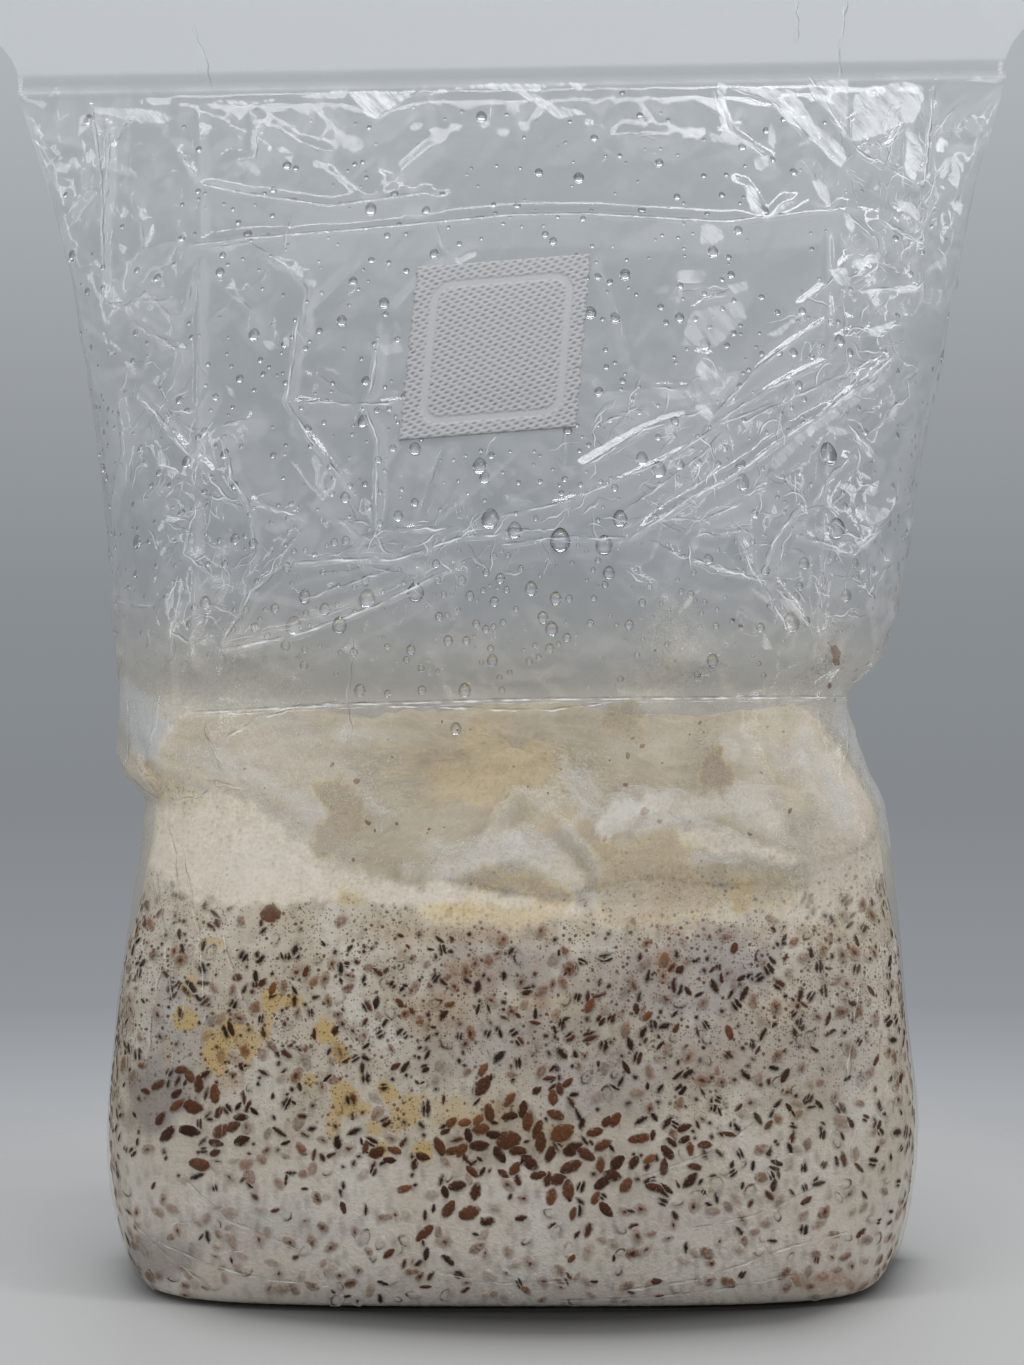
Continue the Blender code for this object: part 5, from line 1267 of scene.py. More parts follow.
for r in range(rise_rows):
    height = LOW_TOP + (rim_top - LOW_TOP) * (r + 1) / rise_rows
    i = np.clip((height - all_z[0]).astype(int), 0, len(all_z) - 2)
    f = (height - all_z[i])[:, None]
    column = np.arange(len(block_u))
    flat = tall[i, column] * (1.0 - f) + tall[i + 1, column] * f
    flat[:, 0] = np.where(height > NECK_Z, np.maximum(flat[:, 0], NECK_X), flat[:, 0])
    wall_high[r] = np.column_stack([flat, height])
rim_line = wall_high[-1]
tops = []
for r in range(1, top_rows):
    share = 1.0 - (r / top_rows) ** 1.15
    xy = rim_line[:, :2] * share + np.array([0.0, 12.0]) * (1.0 - share)
    tops.append(np.column_stack([xy, [block_top(x, y) for x, y in xy]]))
loaf = np.concatenate([wall_low, wall_high, np.array(tops)])
loaf_out = grid_normals(loaf)
n_wall = len(wall_low) + rise_rows
past_rim = np.arange(len(loaf))[:, None] - n_wall
above = unit((past_rim + 3.0) / 8.0)
up_wall = loaf[..., 2]

broad, lumpy, rough = many_noise(loaf, 15.0, 3.0, 2), many_noise(loaf, 5.0, 7.0, 2), many_noise(loaf, 1.7, 11.0, 2)
crust = np.exp(-(np.where(past_rim <= 0, rim_top[None, :] - up_wall, 0.6 * past_rim) / 4.5) ** 2)
crust = crust * np.clip(0.7 + 0.9 * broad, 0.1, 1.0)

# Where the loaf's points show from the camera, in millimetres at the depth of the front panel.
reach = (EYE_AWAY - PANEL_AWAY) / (EYE_AWAY + loaf[..., 1])
view_x, view_z = loaf[..., 0] * reach, EYE_UP + (loaf[..., 2] - EYE_UP) * reach
faces_front = (loaf_out[..., 1] < 0.25) | (above > 0.5)
warp = many_noise(loaf, 9.0, 17.0, 3)


def tint(places, sharp=2.0):
    """How far each point of the loaf lies in the named areas, from (x, z, half width, half height, weight)."""
    found = np.zeros(view_x.shape)
    for x, z, wide, high, weight in places:
        away = np.hypot((view_x - x) / wide, (view_z - z) / high) + 0.45 * warp
        found = np.maximum(found, weight * unit((1.15 - away) * sharp))
    return found * faces_front


# White tufts of the mat, yellow islands, lilac, rust and tan stains, and darker brown-grey areas: partly the mat's
# own colour, partly painted shade in hollows, between kernels and behind ridges.
tuft = tint([
    (18, 143, 8, 8, 0.6), (2, 128, 12, 4, 0.9), (8, 139, 8, 4, 0.9), (-60, 128, 16, 9, 0.45),
    (-84, 128, 14, 10, 0.4), (60, 124, 14, 4, 0.7), (80, 132, 14, 10, 0.35), (94, 140, 10, 20, 0.4),
    (34, 137, 9, 3.5, 0.9), (-14, 126, 14, 4, 0.6), (-34, 114, 18, 2.5, 0.7), (28, 113, 8, 3, 0.6),
    (66, 141, 8, 8, 0.5)], 1.6)
yellow = tint([
    (-51.6, 75.5, 4, 4.5, 1), (-49, 69.7, 3, 3.5, 1), (-66.2, 85.1, 4, 4.5, 1), (-61.6, 84.5, 4.5, 3, 0.95),
    (-68, 79, 2, 7.5, 0.8), (-91.7, 79.7, 3.5, 3.5, 0.95), (-79, 76.6, 3.5, 4.5, 0.9),
    (-82.5, 69.7, 4, 7, 0.95), (-73.2, 70.5, 3.5, 5.5, 0.8), (-46.6, 58.1, 4.5, 6, 0.95),
    (-34.6, 59, 3.5, 5, 0.95), (-28.5, 52.8, 7, 5.5, 0.8), (-42.4, 54.4, 5, 3, 0.7), (-50, 49.6, 2.6, 6, 0.7),
    (-39.1, 48.8, 2.8, 3.2, 0.8), (-56.2, 62.7, 2.8, 3, 0.9), (-86.3, 106.7, 4, 3, 0.45),
    (-89.3, 89, 2.4, 6, 0.7), (-82.9, 100.5, 5, 2.4, 0.7), (-25, 42.8, 3.6, 3, 0.95),
    (-37, 42.8, 3.6, 3.2, 0.9), (-15.5, 52.8, 15, 7, 0.55), (10.8, 48, 9, 4, 0.4), (-96, 70, 2, 6, 0.5),
    (30, 92, 4, 4, 0.35), (50, 56, 14, 6, 0.34), (70, 78, 12, 9, 0.36), (20, 78, 12, 8, 0.30),
    (-20, 84, 10, 8, 0.34), (88, 60, 5, 9, 0.34), (84, 20, 10, 4, 0.3), (0, 108, 70, 3, 0.34),
    (-8, 150, 34, 12, 0.62), (14, 132, 10, 2.4, 0.75), (24, 146, 10, 8, 0.5), (63, 114, 6, 7, 0.6),
    (80, 140, 5, 5, 0.6), (-47, 113.5, 6, 2.6, 0.6), (-10, 110.5, 12, 2.6, 0.75), (-82, 114, 8, 8, 0.3),
    (-60, 118, 14, 5, 0.35), (64, 158, 8, 4, 0.35)])
lilac = tint([
    (-2, 94, 24, 9, 0.6), (6, 74, 22, 10, 0.5), (60, 95.6, 14, 10, 0.85), (-98, 60, 10, 13, 1),
    (24.5, 62.2, 22, 13, 0.55), (44, 88, 24, 15, 0.65), (30, 98, 14, 8, 0.4), (60, 70, 26, 14, 0.45),
    (-10, 72, 22, 12, 0.4), (-93, 76, 10, 16, 0.55), (90, 74, 12, 24, 0.35), (-12, 90, 18, 9, 0.35),
    (-70, 22, 24, 8, 0.45), (-98, 14, 12, 8, 0.8), (40, 24, 40, 8, 0.25)])
rust = tint([
    (86, 6.5, 12, 3, 1), (-12, 92, 9, 6, 0.5), (-22, 80, 10, 7, 0.4), (60, 66, 14, 7, 0.35),
    (42.6, 95.6, 3.2, 3.2, 0.9), (78.7, 83.1, 2.2, 2.4, 0.9), (-78, 62, 4, 3, 0.6), (8, 84, 3, 2, 0.7),
    (52, 105, 14, 3, 0.35), (75, 103, 16, 4, 0.35), (-12, 103, 40, 2.4, 0.3)])
tan = tint([
    (0, 84, 50, 16, 0.75), (0, 50, 40, 14, 0.80), (-70, 92, 34, 12, 0.30), (60, 80, 40, 16, 0.30),
    (-8, 104, 60, 5, 0.8), (-60, 70, 30, 16, 0.35)], 1.0)
shade = tint([
    (2, 47, 22, 8, 0.6), (30, 38, 16, 9, 0.35), (-101, 56, 9, 9, 0.7), (-48, 134.6, 8, 9, 0.85),
    (38, 121, 16, 9, 0.75), (47, 133, 14, 2.6, 0.8), (73, 125, 7, 3.5, 0.7), (-4, 118, 14, 5, 0.5),
    (-38, 123, 6, 4, 0.6), (-30, 126, 6, 5, 0.35), (60, 120, 20, 5, 0.35), (78, 118, 9, 4, 0.5),
    (58, 148, 12, 12, 0.4), (28, 160, 12, 8, 0.3), (-100, 12, 14, 6, 0.4)])


def ridge(line, width):
    """How near each point of the loaf's top lies to a line seen from the front: 1 on it, 0 at a width from it."""
    away = away_from(line, view_x, view_z, 99.0) + 0.9 * warp
    return unit(1.0 - away / width) ** 0.7 * faces_front * unit(above * 4.0)


# Ridges where the mat has buckled: (line, width, height).
RIDGES = [
    ([(-73, 140), (-67, 132), (-51, 121), (-38, 117.5), (-31, 115)], 2.4, 1.6),
    ([(-9, 126), (-3, 134.6), (2, 139), (13, 132), (22, 123.5), (25, 118)], 3, 2.8),
    ([(24.5, 130.4), (28.7, 139), (35.6, 141.6), (46.7, 140)], 2.6, 2.2),
    ([(35.6, 131), (49.5, 133), (58, 129.6), (66, 126), (73, 123)], 3, 2.6),
    ([(-98, 138), (-90, 132), (-80, 130)], 2.4, 1.2),
    ([(-44, 146), (-40, 138), (-34, 134)], 2.2, 1.4),
    ([(80, 150), (86, 138), (84, 128)], 2.6, 1.6),
    ([(-30, 121), (-14, 119), (0, 122), (10, 120)], 2.2, 1.4),
    ([(14, 150), (18, 140), (24, 134)], 2.4, 1.6)]
ridges = np.zeros(view_x.shape)
for line, width, height in RIDGES:
    near = ridge(line, width)
    ridges = np.maximum(ridges, height * near)
    tuft = np.maximum(tuft, 0.65 * near)
    # Painted shadow just behind each ridge, beside it but not on it.
    shade = np.maximum(shade, 0.6 * ridge([(x + 0.5, z + 3.4) for x, z in line], 1.3 * width) * (near < 0.3))
yellow = yellow * (1.0 - 0.25 * above)

lift = above * (1.5 * broad + 1.1 * lumpy) + (0.10 + 0.45 * above) * rough
lift += above * (1.2 * tuft + ridges) + 1.5 * crust * (0.35 + 0.5 * np.abs(lumpy) + 0.35 * rough) * (above < 0.99)
lift = np.where(above < 0.05, np.clip(lift, -0.5, 0.35), lift)
loaf_points = loaf + loaf_out * lift[..., None]
in_grain = (1.0 - above) * unit((rim_top[None, :] - up_wall) / 5.0 + 0.4 * lumpy)

grown_white, g_look = new_material("grown_white")
g_place = g_look.node("TexCoord").outputs["Object"]
g_mottle = g_look.node("TexNoise", Scale=55.0, Detail=5.0, Roughness=0.6, Vector=g_place)
g_fine = g_look.node("TexNoise", Scale=900.0, Detail=3.0, Roughness=0.65, Vector=g_place)
g_patchy = g_look.node("TexNoise", Scale=80.0, Detail=3.0, Vector=g_place)
g_grain = g_look.area("grain")
g_base = g_look.ramp(g_mottle.outputs["Fac"],
                     [(0.30, (0.535, 0.460, 0.352)), (0.50, (0.665, 0.592, 0.490)), (0.68, (0.785, 0.742, 0.668))])
g_cream = g_look.ramp(g_mottle.outputs["Fac"],
                      [(0.30, (0.30, 0.245, 0.165)), (0.52, (0.41, 0.35, 0.25)), (0.72, (0.50, 0.45, 0.36))])
g_tone = g_look.blend(g_grain, g_cream, g_base)
# The threads are thickest and whitest low down, and stained tan across the middle.
g_tone = g_look.blend(g_look.times(g_look.area("pale"), 0.55), g_tone, (0.79, 0.725, 0.655))
g_tone = g_look.blend(g_look.times(g_look.area("tan"), 0.42), g_tone, (0.45, 0.32, 0.165))
# Kernels lying deeper show as soft grey-brown shadows, longer than they are wide.
for turn, strength in ((0.6, 0.62), (-0.9, 0.5)):
    g_lay = g_look.node("Mapping", Rotation=(0.0, turn, 0.0), Scale=(1.0, 1.0, 0.5), Vector=g_place)
    g_deep = g_look.node("TexVoronoi", Scale=330.0, Vector=g_lay)
    g_near = g_look.minus(0.42, g_deep.outputs["Distance"], clamp=True)
    g_veil = g_look.times(g_near, 3.4, clamp=True)
    g_veil = g_look.times(g_look.times(g_veil, g_patchy.outputs["Fac"]), strength)
    g_tone = g_look.blend(g_look.times(g_veil, g_grain), g_tone, (0.20, 0.165, 0.14))
g_tone = g_look.blend(g_look.times(g_look.area("lilac"), 0.72), g_tone, (0.33, 0.30, 0.32))
# The yellow islands end sharply against the white threads.
g_island = g_look.plus(g_look.area("yellow"), g_look.times(g_mottle.outputs["Fac"], 0.9))
g_island = g_look.times(g_look.minus(g_island, 0.72, clamp=True), 2.6, clamp=True)
g_island = g_look.times(g_look.times(g_island, g_look.area("yellow"), clamp=True), 1.05, clamp=True)
g_tone = g_look.blend(g_island, g_tone, (0.64, 0.45, 0.195))
g_tone = g_look.blend(g_look.times(g_look.area("rust"), g_fine.outputs["Fac"]), g_tone, (0.42, 0.18, 0.05))
# Darker brown-grey where the shade areas lie: partly the mat's own colour, partly painted shade.
g_tone = g_look.blend(g_look.times(g_look.area("shade"), 0.6), g_tone, (0.27, 0.22, 0.15))
g_tone = g_look.blend(g_look.times(g_look.area("tuft"), 0.75), g_tone, (0.55, 0.545, 0.54))
# Pores: tiny tan and brown holes, thick in some places and few in others.
for name, scale, least, colour, strength in (
        ("fine", 1250.0, 0.50, (0.20, 0.105, 0.035), 0.85), ("coarse", 620.0, 0.80, (0.10, 0.055, 0.028), 0.95)):
    g_pore = g_look.node("TexVoronoi", Scale=scale, Vector=g_place)
    g_pick = g_look.node("SeparateColor", g_pore.outputs["Color"])
    g_hole = g_look.times(g_look.minus(0.40, g_pore.outputs["Distance"], clamp=True), 6.0, clamp=True)
    g_chance = g_look.plus(g_pick, g_look.times(g_look.area("pores"), 0.45))
    g_chance = g_look.plus(g_chance, g_look.times(g_look.minus(g_patchy.outputs["Fac"], 0.5), 1.6))
    g_hole = g_look.times(g_hole, g_look.math("GREATER_THAN", g_chance, least + 0.35))
    g_hole = g_look.times(g_look.times(g_hole, g_look.area("pores"), clamp=True), strength)
    g_tone = g_look.blend(g_hole, g_tone, colour)
g_tone = g_look.blend(g_look.times(g_fine.outputs["Fac"], 0.20), g_tone, (0.42, 0.39, 0.34))
# Bare husk shows where the threads thin out over a kernel.
g_husk = g_look.times(g_look.area("husk"), g_look.plus(g_look.times(g_fine.outputs["Fac"], 2.4), -0.15), clamp=True)
g_tint = g_look.plus(g_look.area("tone"), g_look.times(g_look.minus(g_fine.outputs["Fac"], 0.5), 0.85))
g_brown = g_look.ramp(g_tint, [
    (0.0, (0.020, 0.010, 0.006)), (0.30, (0.052, 0.018, 0.008)), (0.55, (0.125, 0.042, 0.016)),
    (0.75, (0.205, 0.076, 0.027)), (0.88, (0.240, 0.110, 0.045)), (1.0, (0.200, 0.165, 0.140))])
g_tone = g_look.blend(g_husk, g_tone, g_brown)
# Painted shade: the foot of the loaf, where it meets the table, is coloured almost black.
g_tone = g_look.blend(g_look.area("foot"), g_tone, (0.035, 0.020, 0.012))
g_bump = g_look.node("Bump", Strength=0.5, Distance=0.0006, Height=g_fine.outputs["Fac"])
g_skin = g_look.node("BsdfPrincipled", Roughness=0.75, Specular_IOR_Level=0.12, Base_Color=g_tone, Normal=g_bump)
g_look.surface(g_skin)

rows, columns = loaf.shape[:2]
loaf_faces = grid_faces(rows, columns, closed=True)
cap, last_row = rows * columns, (rows - 1) * columns
middles = [loaf_points[-1].mean(axis=0), loaf_points[0].mean(axis=0)]
all_points = np.concatenate([loaf_points.reshape(-1, 3), middles])
here, ahead = np.arange(columns), (np.arange(columns) + 1) % columns
triangles = np.concatenate([loaf_faces[:, [0, 1, 2]], loaf_faces[:, [0, 2, 3]],
                            np.stack([here + last_row, ahead + last_row, np.full(columns, cap)], axis=-1),
                            np.stack([ahead, here, np.full(columns, cap + 1)], axis=-1)])


def with_caps(values):
    """Values for the loaf's grid with two more for the middles of its top and its base."""
    return np.concatenate([np.ravel(values), [0.0, 0.0]])


pores = unit(in_grain * np.clip((up_wall - 28.0) / 50.0, 0.15, 1.0) + 0.8 * crust + 0.6 * yellow)
# Painted shade along the lowest millimetre or so of the loaf, uneven along its length.
foot = unit(0.45 - up_wall / 1.4 + 0.7 * broad) * (1.0 - above) * 0.7
pale = unit((62.0 - up_wall) / 40.0) * (1.0 - above)
areas = {"grain": in_grain, "yellow": yellow, "tan": tan, "pale": pale, "lilac": lilac, "rust": rust, "tuft": tuft,
         "shade": shade, "pores": pores, "foot": foot}
loaf_made = new_mesh("grown_loaf", all_points, triangles, grown_white, values={
    **{name: with_caps(values) for name, values in areas.items()},
    "husk": np.zeros(len(all_points)), "tone": np.zeros(len(all_points))})
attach(loaf_made, "root")
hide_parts("grain_block")


# Kernels: whole rye grains held in the white threads, brown where bare, greyed where grown over and
# many no more than a dark slit. They are part of the loaf, and its threads run up over their edges.
KERNEL_SIDES = 10
turns = np.linspace(0.0, 2.0 * math.pi, KERNEL_SIDES, endpoint=False)
# The rings of a kernel, from its middle out: share of its size, height and how bare it is there.
KERNEL_RINGS = ((0.58, 0.85, 1.0), (1.0, 0.30, 0.72), (1.0, -0.10, 0.0))
KERNEL_COUNT, KERNEL_TRIES, CLUSTER_DENSITY = 3800, 60000, 0.115


def dome_faces(sides, rings):
    """Triangles of a dome: a fan round its middle point, then strips from each ring of points to the next."""
    faces = [(0, 1 + i, 1 + (i + 1) % sides) for i in range(sides)]
    for a in range(1, 1 + (rings - 1) * sides, sides):
        for i in range(sides):
            k, b = (i + 1) % sides, a + sides
            faces += [(a + i, b + i, b + k), (a + i, b + k, a + k)]
    return faces


def turned(across, up, turn):
    """Two directions on a surface, turned together by an angle."""
    return across * np.cos(turn) + up * np.sin(turn), up * np.cos(turn) - across * np.sin(turn)


def set_down(points, place, *ways):
    """The points of a small piece set at a place along three directions."""
    return place + points @ np.array(ways)


kernel_faces = np.array(dome_faces(KERNEL_SIDES, len(KERNEL_RINGS)))

# Clusters of large bare kernels: (u, z, half width, half height, strength).
CLUSTERS = [
    (2, 47, 27, 11, 1), (32, 38, 20, 12, 0.6), (-34, 42, 12, 8, 0.35), (-101, 58, 11, 9, 1),
    (-92, 46, 12, 12, 0.35), (-20, 28, 30, 7, 0.14), (220, 50, 40, 16, 0.7), (-250, 70, 40, 16, 0.5)]
skin = loaf_points[:n_wall]
skin_out = grid_normals(skin)
wall_top = rim_top - 4.0
kernel_pick = np.random.default_rng(33)


def on_wall(u, z):
    """The row and column of the loaf's side nearest a place (u, z), and the direction along the girth there."""
    column = int(np.argmin(np.abs(short_round(block_u - u))))
    row = int(np.argmin(np.abs(skin[:, column, 2] - z)))
    return row, column, one_long(skin[row, (column + 1) % columns] - skin[row, column - 1])


kernels = {"bare": [], "dark": [], "greyed": []}
kernel_near = {}


def add_kernel(family, u, z, long, wide, high, turn, tone, bareness, tight=0.66):
    """A kernel on the loaf's side, left out where it would lie across another one."""
    cell_a, cell_b = int(u // 6.0), int(z // 6.0)
    for a, b in ((a, b) for a in (-1, 0, 1) for b in (-1, 0, 1)):
        for other_u, other_z, other_long in kernel_near.get((cell_a + a, cell_b + b), ()):
            if math.hypot(other_u - u, other_z - z) < tight * (other_long + long):
                return
    kernel_near.setdefault((cell_a, cell_b), []).append((u, z, long))
    row, column, along = on_wall(u, z)
    out = skin_out[row, column]
    up = np.cross(out, along)
    blunt = kernel_pick.uniform(0.72, 1.0)
    skirt = kernel_pick.uniform(0.30, 0.75) * (1.4 if family == "dark" else 1.0)
    points, husk = [(0.0, 0.0, high)], [1.0]
    for share, rise, bare in KERNEL_RINGS:
        wide_here, long_here = share * wide, share * long
        if bare == 0.0:
            wide_here, long_here = wide_here + skirt, long_here + skirt
        elif family == "dark" and share == 1.0:
            bare = 0.62
        for a in turns:
            c, d = math.cos(a), math.sin(a)
            uneven = 1.0 + 0.07 * kernel_pick.standard_normal()
            points.append((c * long_here * uneven * (1.0 if c > 0.0 else blunt),
                           d * wide_here * uneven * (1.0 - 0.16 * abs(c) ** 1.5), rise * high))
            husk.append(bare)
    points = np.array(points)
    place = skin[row, column] + along * np.clip(short_round(u - block_u[column]), -2.5, 2.5)
    place = place + up * np.clip(z - skin[row, column, 2], -0.8, 0.8) + out * 0.10
    placed = set_down(points, place, *turned(along, up, turn), out)
    tones = np.full(len(points), tone) - 0.12 * (1.0 - np.array(husk))
    husk = np.array(husk) * bareness
    if family == "greyed":
        look = kernel_pick.random()
        if look < 0.30:
            tones[0], husk[0] = 0.1, 1.0
        elif look < 0.52:
            # Only the rim of these shows through, as a dark ring or a bracket.
            side = kernel_pick.uniform(0.0, 2.0 * math.pi)
            husk *= np.concatenate([[0.1], np.full(KERNEL_SIDES, 0.2), 0.9 + 0.9 * np.cos(turns - side),
                                    np.zeros(KERNEL_SIDES)])
            tones[:] = 0.25
    kernels[family].append((placed, husk, tones, {name: values[row, column] for name, values in areas.items()}))


# Kernels that can be told one by one: (x, z, half length, half width, turn, tone).
for x, z, long, wide, turn, tone in (
        (-68.2, 109.0, 3.0, 2.4, 0.3, 0.56), (42.0, 96.5, 2.2, 1.2, 1.4, 0.9), (-8.0, 62.5, 3.4, 1.7, 0.9, 0.42),
        (-1.5, 47.5, 4.0, 2.6, 0.1, 0.5), (13.5, 49.5, 3.6, 2.4, 0.5, 0.62), (-12.0, 27.5, 3.2, 1.8, 0.3, 0.55)):
    add_kernel("bare", to_u(x, z), z, long, wide, 0.34, turn, tone, 1.25)
for cu, cz, wide, high, strength in CLUSTERS:
    for _ in range(int(CLUSTER_DENSITY * wide * high * strength)):
        long = kernel_pick.uniform(1.9, 3.3)
        add_kernel("bare", kernel_pick.normal(cu, 0.5 * wide), max(kernel_pick.normal(cz, 0.5 * high), 4.0), long,
                   long * kernel_pick.uniform(0.38, 0.56), 0.30, kernel_pick.normal(0.5, 0.8),
                   0.20 + 0.44 * kernel_pick.random() ** 1.5, 1.3, 0.60)
for _ in range(KERNEL_TRIES):
    if sum(len(made) for made in kernels.values()) >= KERNEL_COUNT:
        break
    u, z = kernel_pick.uniform(-GIRTH / 2.0, GIRTH / 2.0), kernel_pick.uniform(2.5, 132.0)
    cluster = 0.0
    for cu, cz, wide, high, strength in CLUSTERS:
        cluster = max(cluster, strength * math.exp(-(((u - cu) / wide) ** 2 + ((z - cz) / high) ** 2)))
    row, column, _ = on_wall(u, z)
    highest = wall_top[column] - 1.0 - 14.0 * kernel_pick.random() ** 2
    shore = 107.0 + 2.5 * math.sin(u * 0.21) + 1.5 * math.sin(u * 0.53) + 12.0 * unit((abs(u) - 80.0) / 22.0)
    if z > min(highest, shore - 12.0 * kernel_pick.random() ** 2):
        continue
    low = unit((46.0 - z) / 24.0) * (1.0 - cluster)
    covered = 0.55 * tuft[row, column] + 0.5 * yellow[row, column] * (cluster < 0.5)
    if kernel_pick.random() < covered or (low > 0.3 and kernel_pick.random() < 0.25):
        continue
    kind, size = kernel_pick.random(), kernel_pick.uniform(0.8, 1.2)
    steep = kernel_pick.normal(1.35, 0.75) if z > 55.0 else kernel_pick.uniform(0.0, math.pi)
    if kind < 0.72 * cluster or kind > 0.975:
        long = kernel_pick.uniform(1.7, 3.0) * (0.80 + 0.40 * cluster)
        lying = kernel_pick.normal(0.5, 0.7) if cluster > 0.3 else steep
        add_kernel("bare", u, z, long, long * kernel_pick.uniform(0.38, 0.56), 0.30, lying,
                   0.32 + 0.45 * kernel_pick.random() ** 1.4, 1.25, 0.60 - 0.12 * cluster)
    elif kind < 0.36 + 0.45 * low:
        long = kernel_pick.uniform(1.3, 2.5)
        add_kernel("greyed", u, z, long, long * kernel_pick.uniform(0.45, 0.7), 0.16, steep,
                   0.62 + 0.38 * kernel_pick.random(), kernel_pick.uniform(0.35, 0.85), 0.70)
    elif kind < 0.56:
        add_kernel("dark", u, z, kernel_pick.uniform(0.35, 0.75), kernel_pick.uniform(0.3, 0.5), 0.10, steep,
                   0.42 * kernel_pick.random(), 1.1)
    else:
        long = kernel_pick.uniform(0.8, 2.0) * size
        slim = max(long * kernel_pick.uniform(0.18, 0.40), 0.28)
        add_kernel("dark", u, z, long, slim, 0.20, steep, 0.50 * kernel_pick.random() ** 1.2,
                   1.3 + 0.3 * kernel_pick.random())
        if kernel_pick.random() < 0.25:
            # A slit often comes as a pair: the two edges of one kernel.
            apart = 2.0 * slim + 0.35
            add_kernel("dark", u - math.sin(steep) * apart, z + math.cos(steep) * apart, 0.85 * long, 0.8 * slim,
                       0.20, steep, 0.3 * kernel_pick.random(), 1.2, 0.16)

for family, made in kernels.items():
    count = len(made[0][0])
    grains = new_mesh(f"kernels_{family}", np.concatenate([item[0] for item in made]),
                      np.concatenate([kernel_faces + i * count for i in range(len(made))]), grown_white,
                      values={"husk": np.concatenate([item[1] for item in made]),
                              "tone": np.concatenate([item[2] for item in made]),
                              **{name: np.repeat([item[3][name] for item in made], count) for name in areas}})
    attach(grains, "root")
    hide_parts("grain_block")


# Stuck threads: where the white threads have climbed the film above the mat they hang there in small
# clumps of loose fibre, and flecks of rust-brown crust stick among them.
thread_pick = np.random.default_rng(61)
fibre_points, fibre_tone = [], []


def level_and_up(out):
    """The level direction along a surface and the one up it, from the direction out of it."""
    side = one_long(np.cross((0.0, 0.0, 1.0), out))
    return side, np.cross(out, side)


def add_fibres(place, out, long, tone, depth=1.2):
    """Loose fibres, one at each of some points of the film or the mat, lying along it."""
    count = len(place)
    each = (count, 1)
    turn, run = thread_pick.uniform(0.0, 2.0 * math.pi, each), thread_pick.uniform(0.4, 1.0, each) * long
    start = place - out * thread_pick.random(each) * depth
    way, across = turned(*level_and_up(out), turn)
    way = way - out * np.abs(thread_pick.normal(0.0, 0.2, each))
    thick = thread_pick.uniform(0.05, 0.10, each)
    corners = [start - across * thick, start + across * thick, start + way * run]
    fibre_points.append(np.stack(corners, axis=1).reshape(-1, 3))
    fibre_tone.append(np.repeat(unit(tone + thread_pick.normal(0.0, 0.15, count)), 3))


for x, z, count, wide, high, long, tone in (
        (44.6, 184.0, 1500, 9, 12, 1.8, 0.15), (44.6, 175.0, 900, 10, 8, 1.8, 0.3),
        (56.6, 151.0, 1300, 7, 10, 1.5, 0.75), (54.0, 144.0, 500, 8, 8, 1.5, 0.55),
        (31.6, 161.0, 900, 11, 8, 1.8, 0.5), (91.2, 180.0, 500, 5, 12, 1.6, 0.55),
        (-84.0, 170.0, 1300, 26, 16, 2.4, 0.1), (-70.0, 152.0, 1300, 34, 16, 2.4, 0.15),
        (-46.0, 146.0, 900, 20, 14, 2.0, 0.1), (-100.0, 160.0, 700, 14, 20, 2.2, 0.1),
        (88.0, 150.0, 1300, 16, 26, 2.2, 0.1), (78.0, 128.0, 900, 18, 14, 2.0, 0.2),
        (20.0, 146.0, 700, 14, 10, 2.0, 0.2), (-8.0, 124.0, 700, 26, 6, 1.8, 0.05),
        (-60.0, 128.0, 900, 30, 12, 2.0, 0.1), (40.0, 136.0, 900, 22, 6, 1.6, 0.1)):
    u = np.clip(to_u(x, z) + thread_pick.normal(0.0, wide * 0.5, count), -150.0, 150.0)
    place, out = film_points(u, z + thread_pick.normal(0.0, high * 0.5, count), -0.35)
    add_fibres(place, out, long, tone)
# The ridges of the mat are fuzzy too.
fuzzy_rows, fuzzy_columns = np.nonzero((tuft > 0.55) & (above > 0.3))
fuzzy = thread_pick.choice(len(fuzzy_rows), 6000)
fuzzy = fuzzy_rows[fuzzy], fuzzy_columns[fuzzy]
place, out = loaf_points[fuzzy], loaf_out[fuzzy]
add_fibres(place + thread_pick.normal(0.0, 0.8, place.shape), out, 1.5, 0.05, depth=-0.9)

thread_white, h_look = new_material("thread_white")
h_tone = h_look.ramp(h_look.area("tone"), [(0.0, (0.66, 0.65, 0.61)), (1.0, (0.24, 0.18, 0.12))])
h_fibre = h_look.node("BsdfPrincipled", Roughness=0.8, Base_Color=h_tone)
h_look.surface(h_fibre)
fibre_all = np.concatenate(fibre_points)
fibres = new_mesh("stuck_threads", fibre_all, np.arange(len(fibre_all)).reshape(-1, 3), thread_white, smooth=False,
                  values={"tone": np.concatenate(fibre_tone)})
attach(fibres, "root")
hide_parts("grain_block")

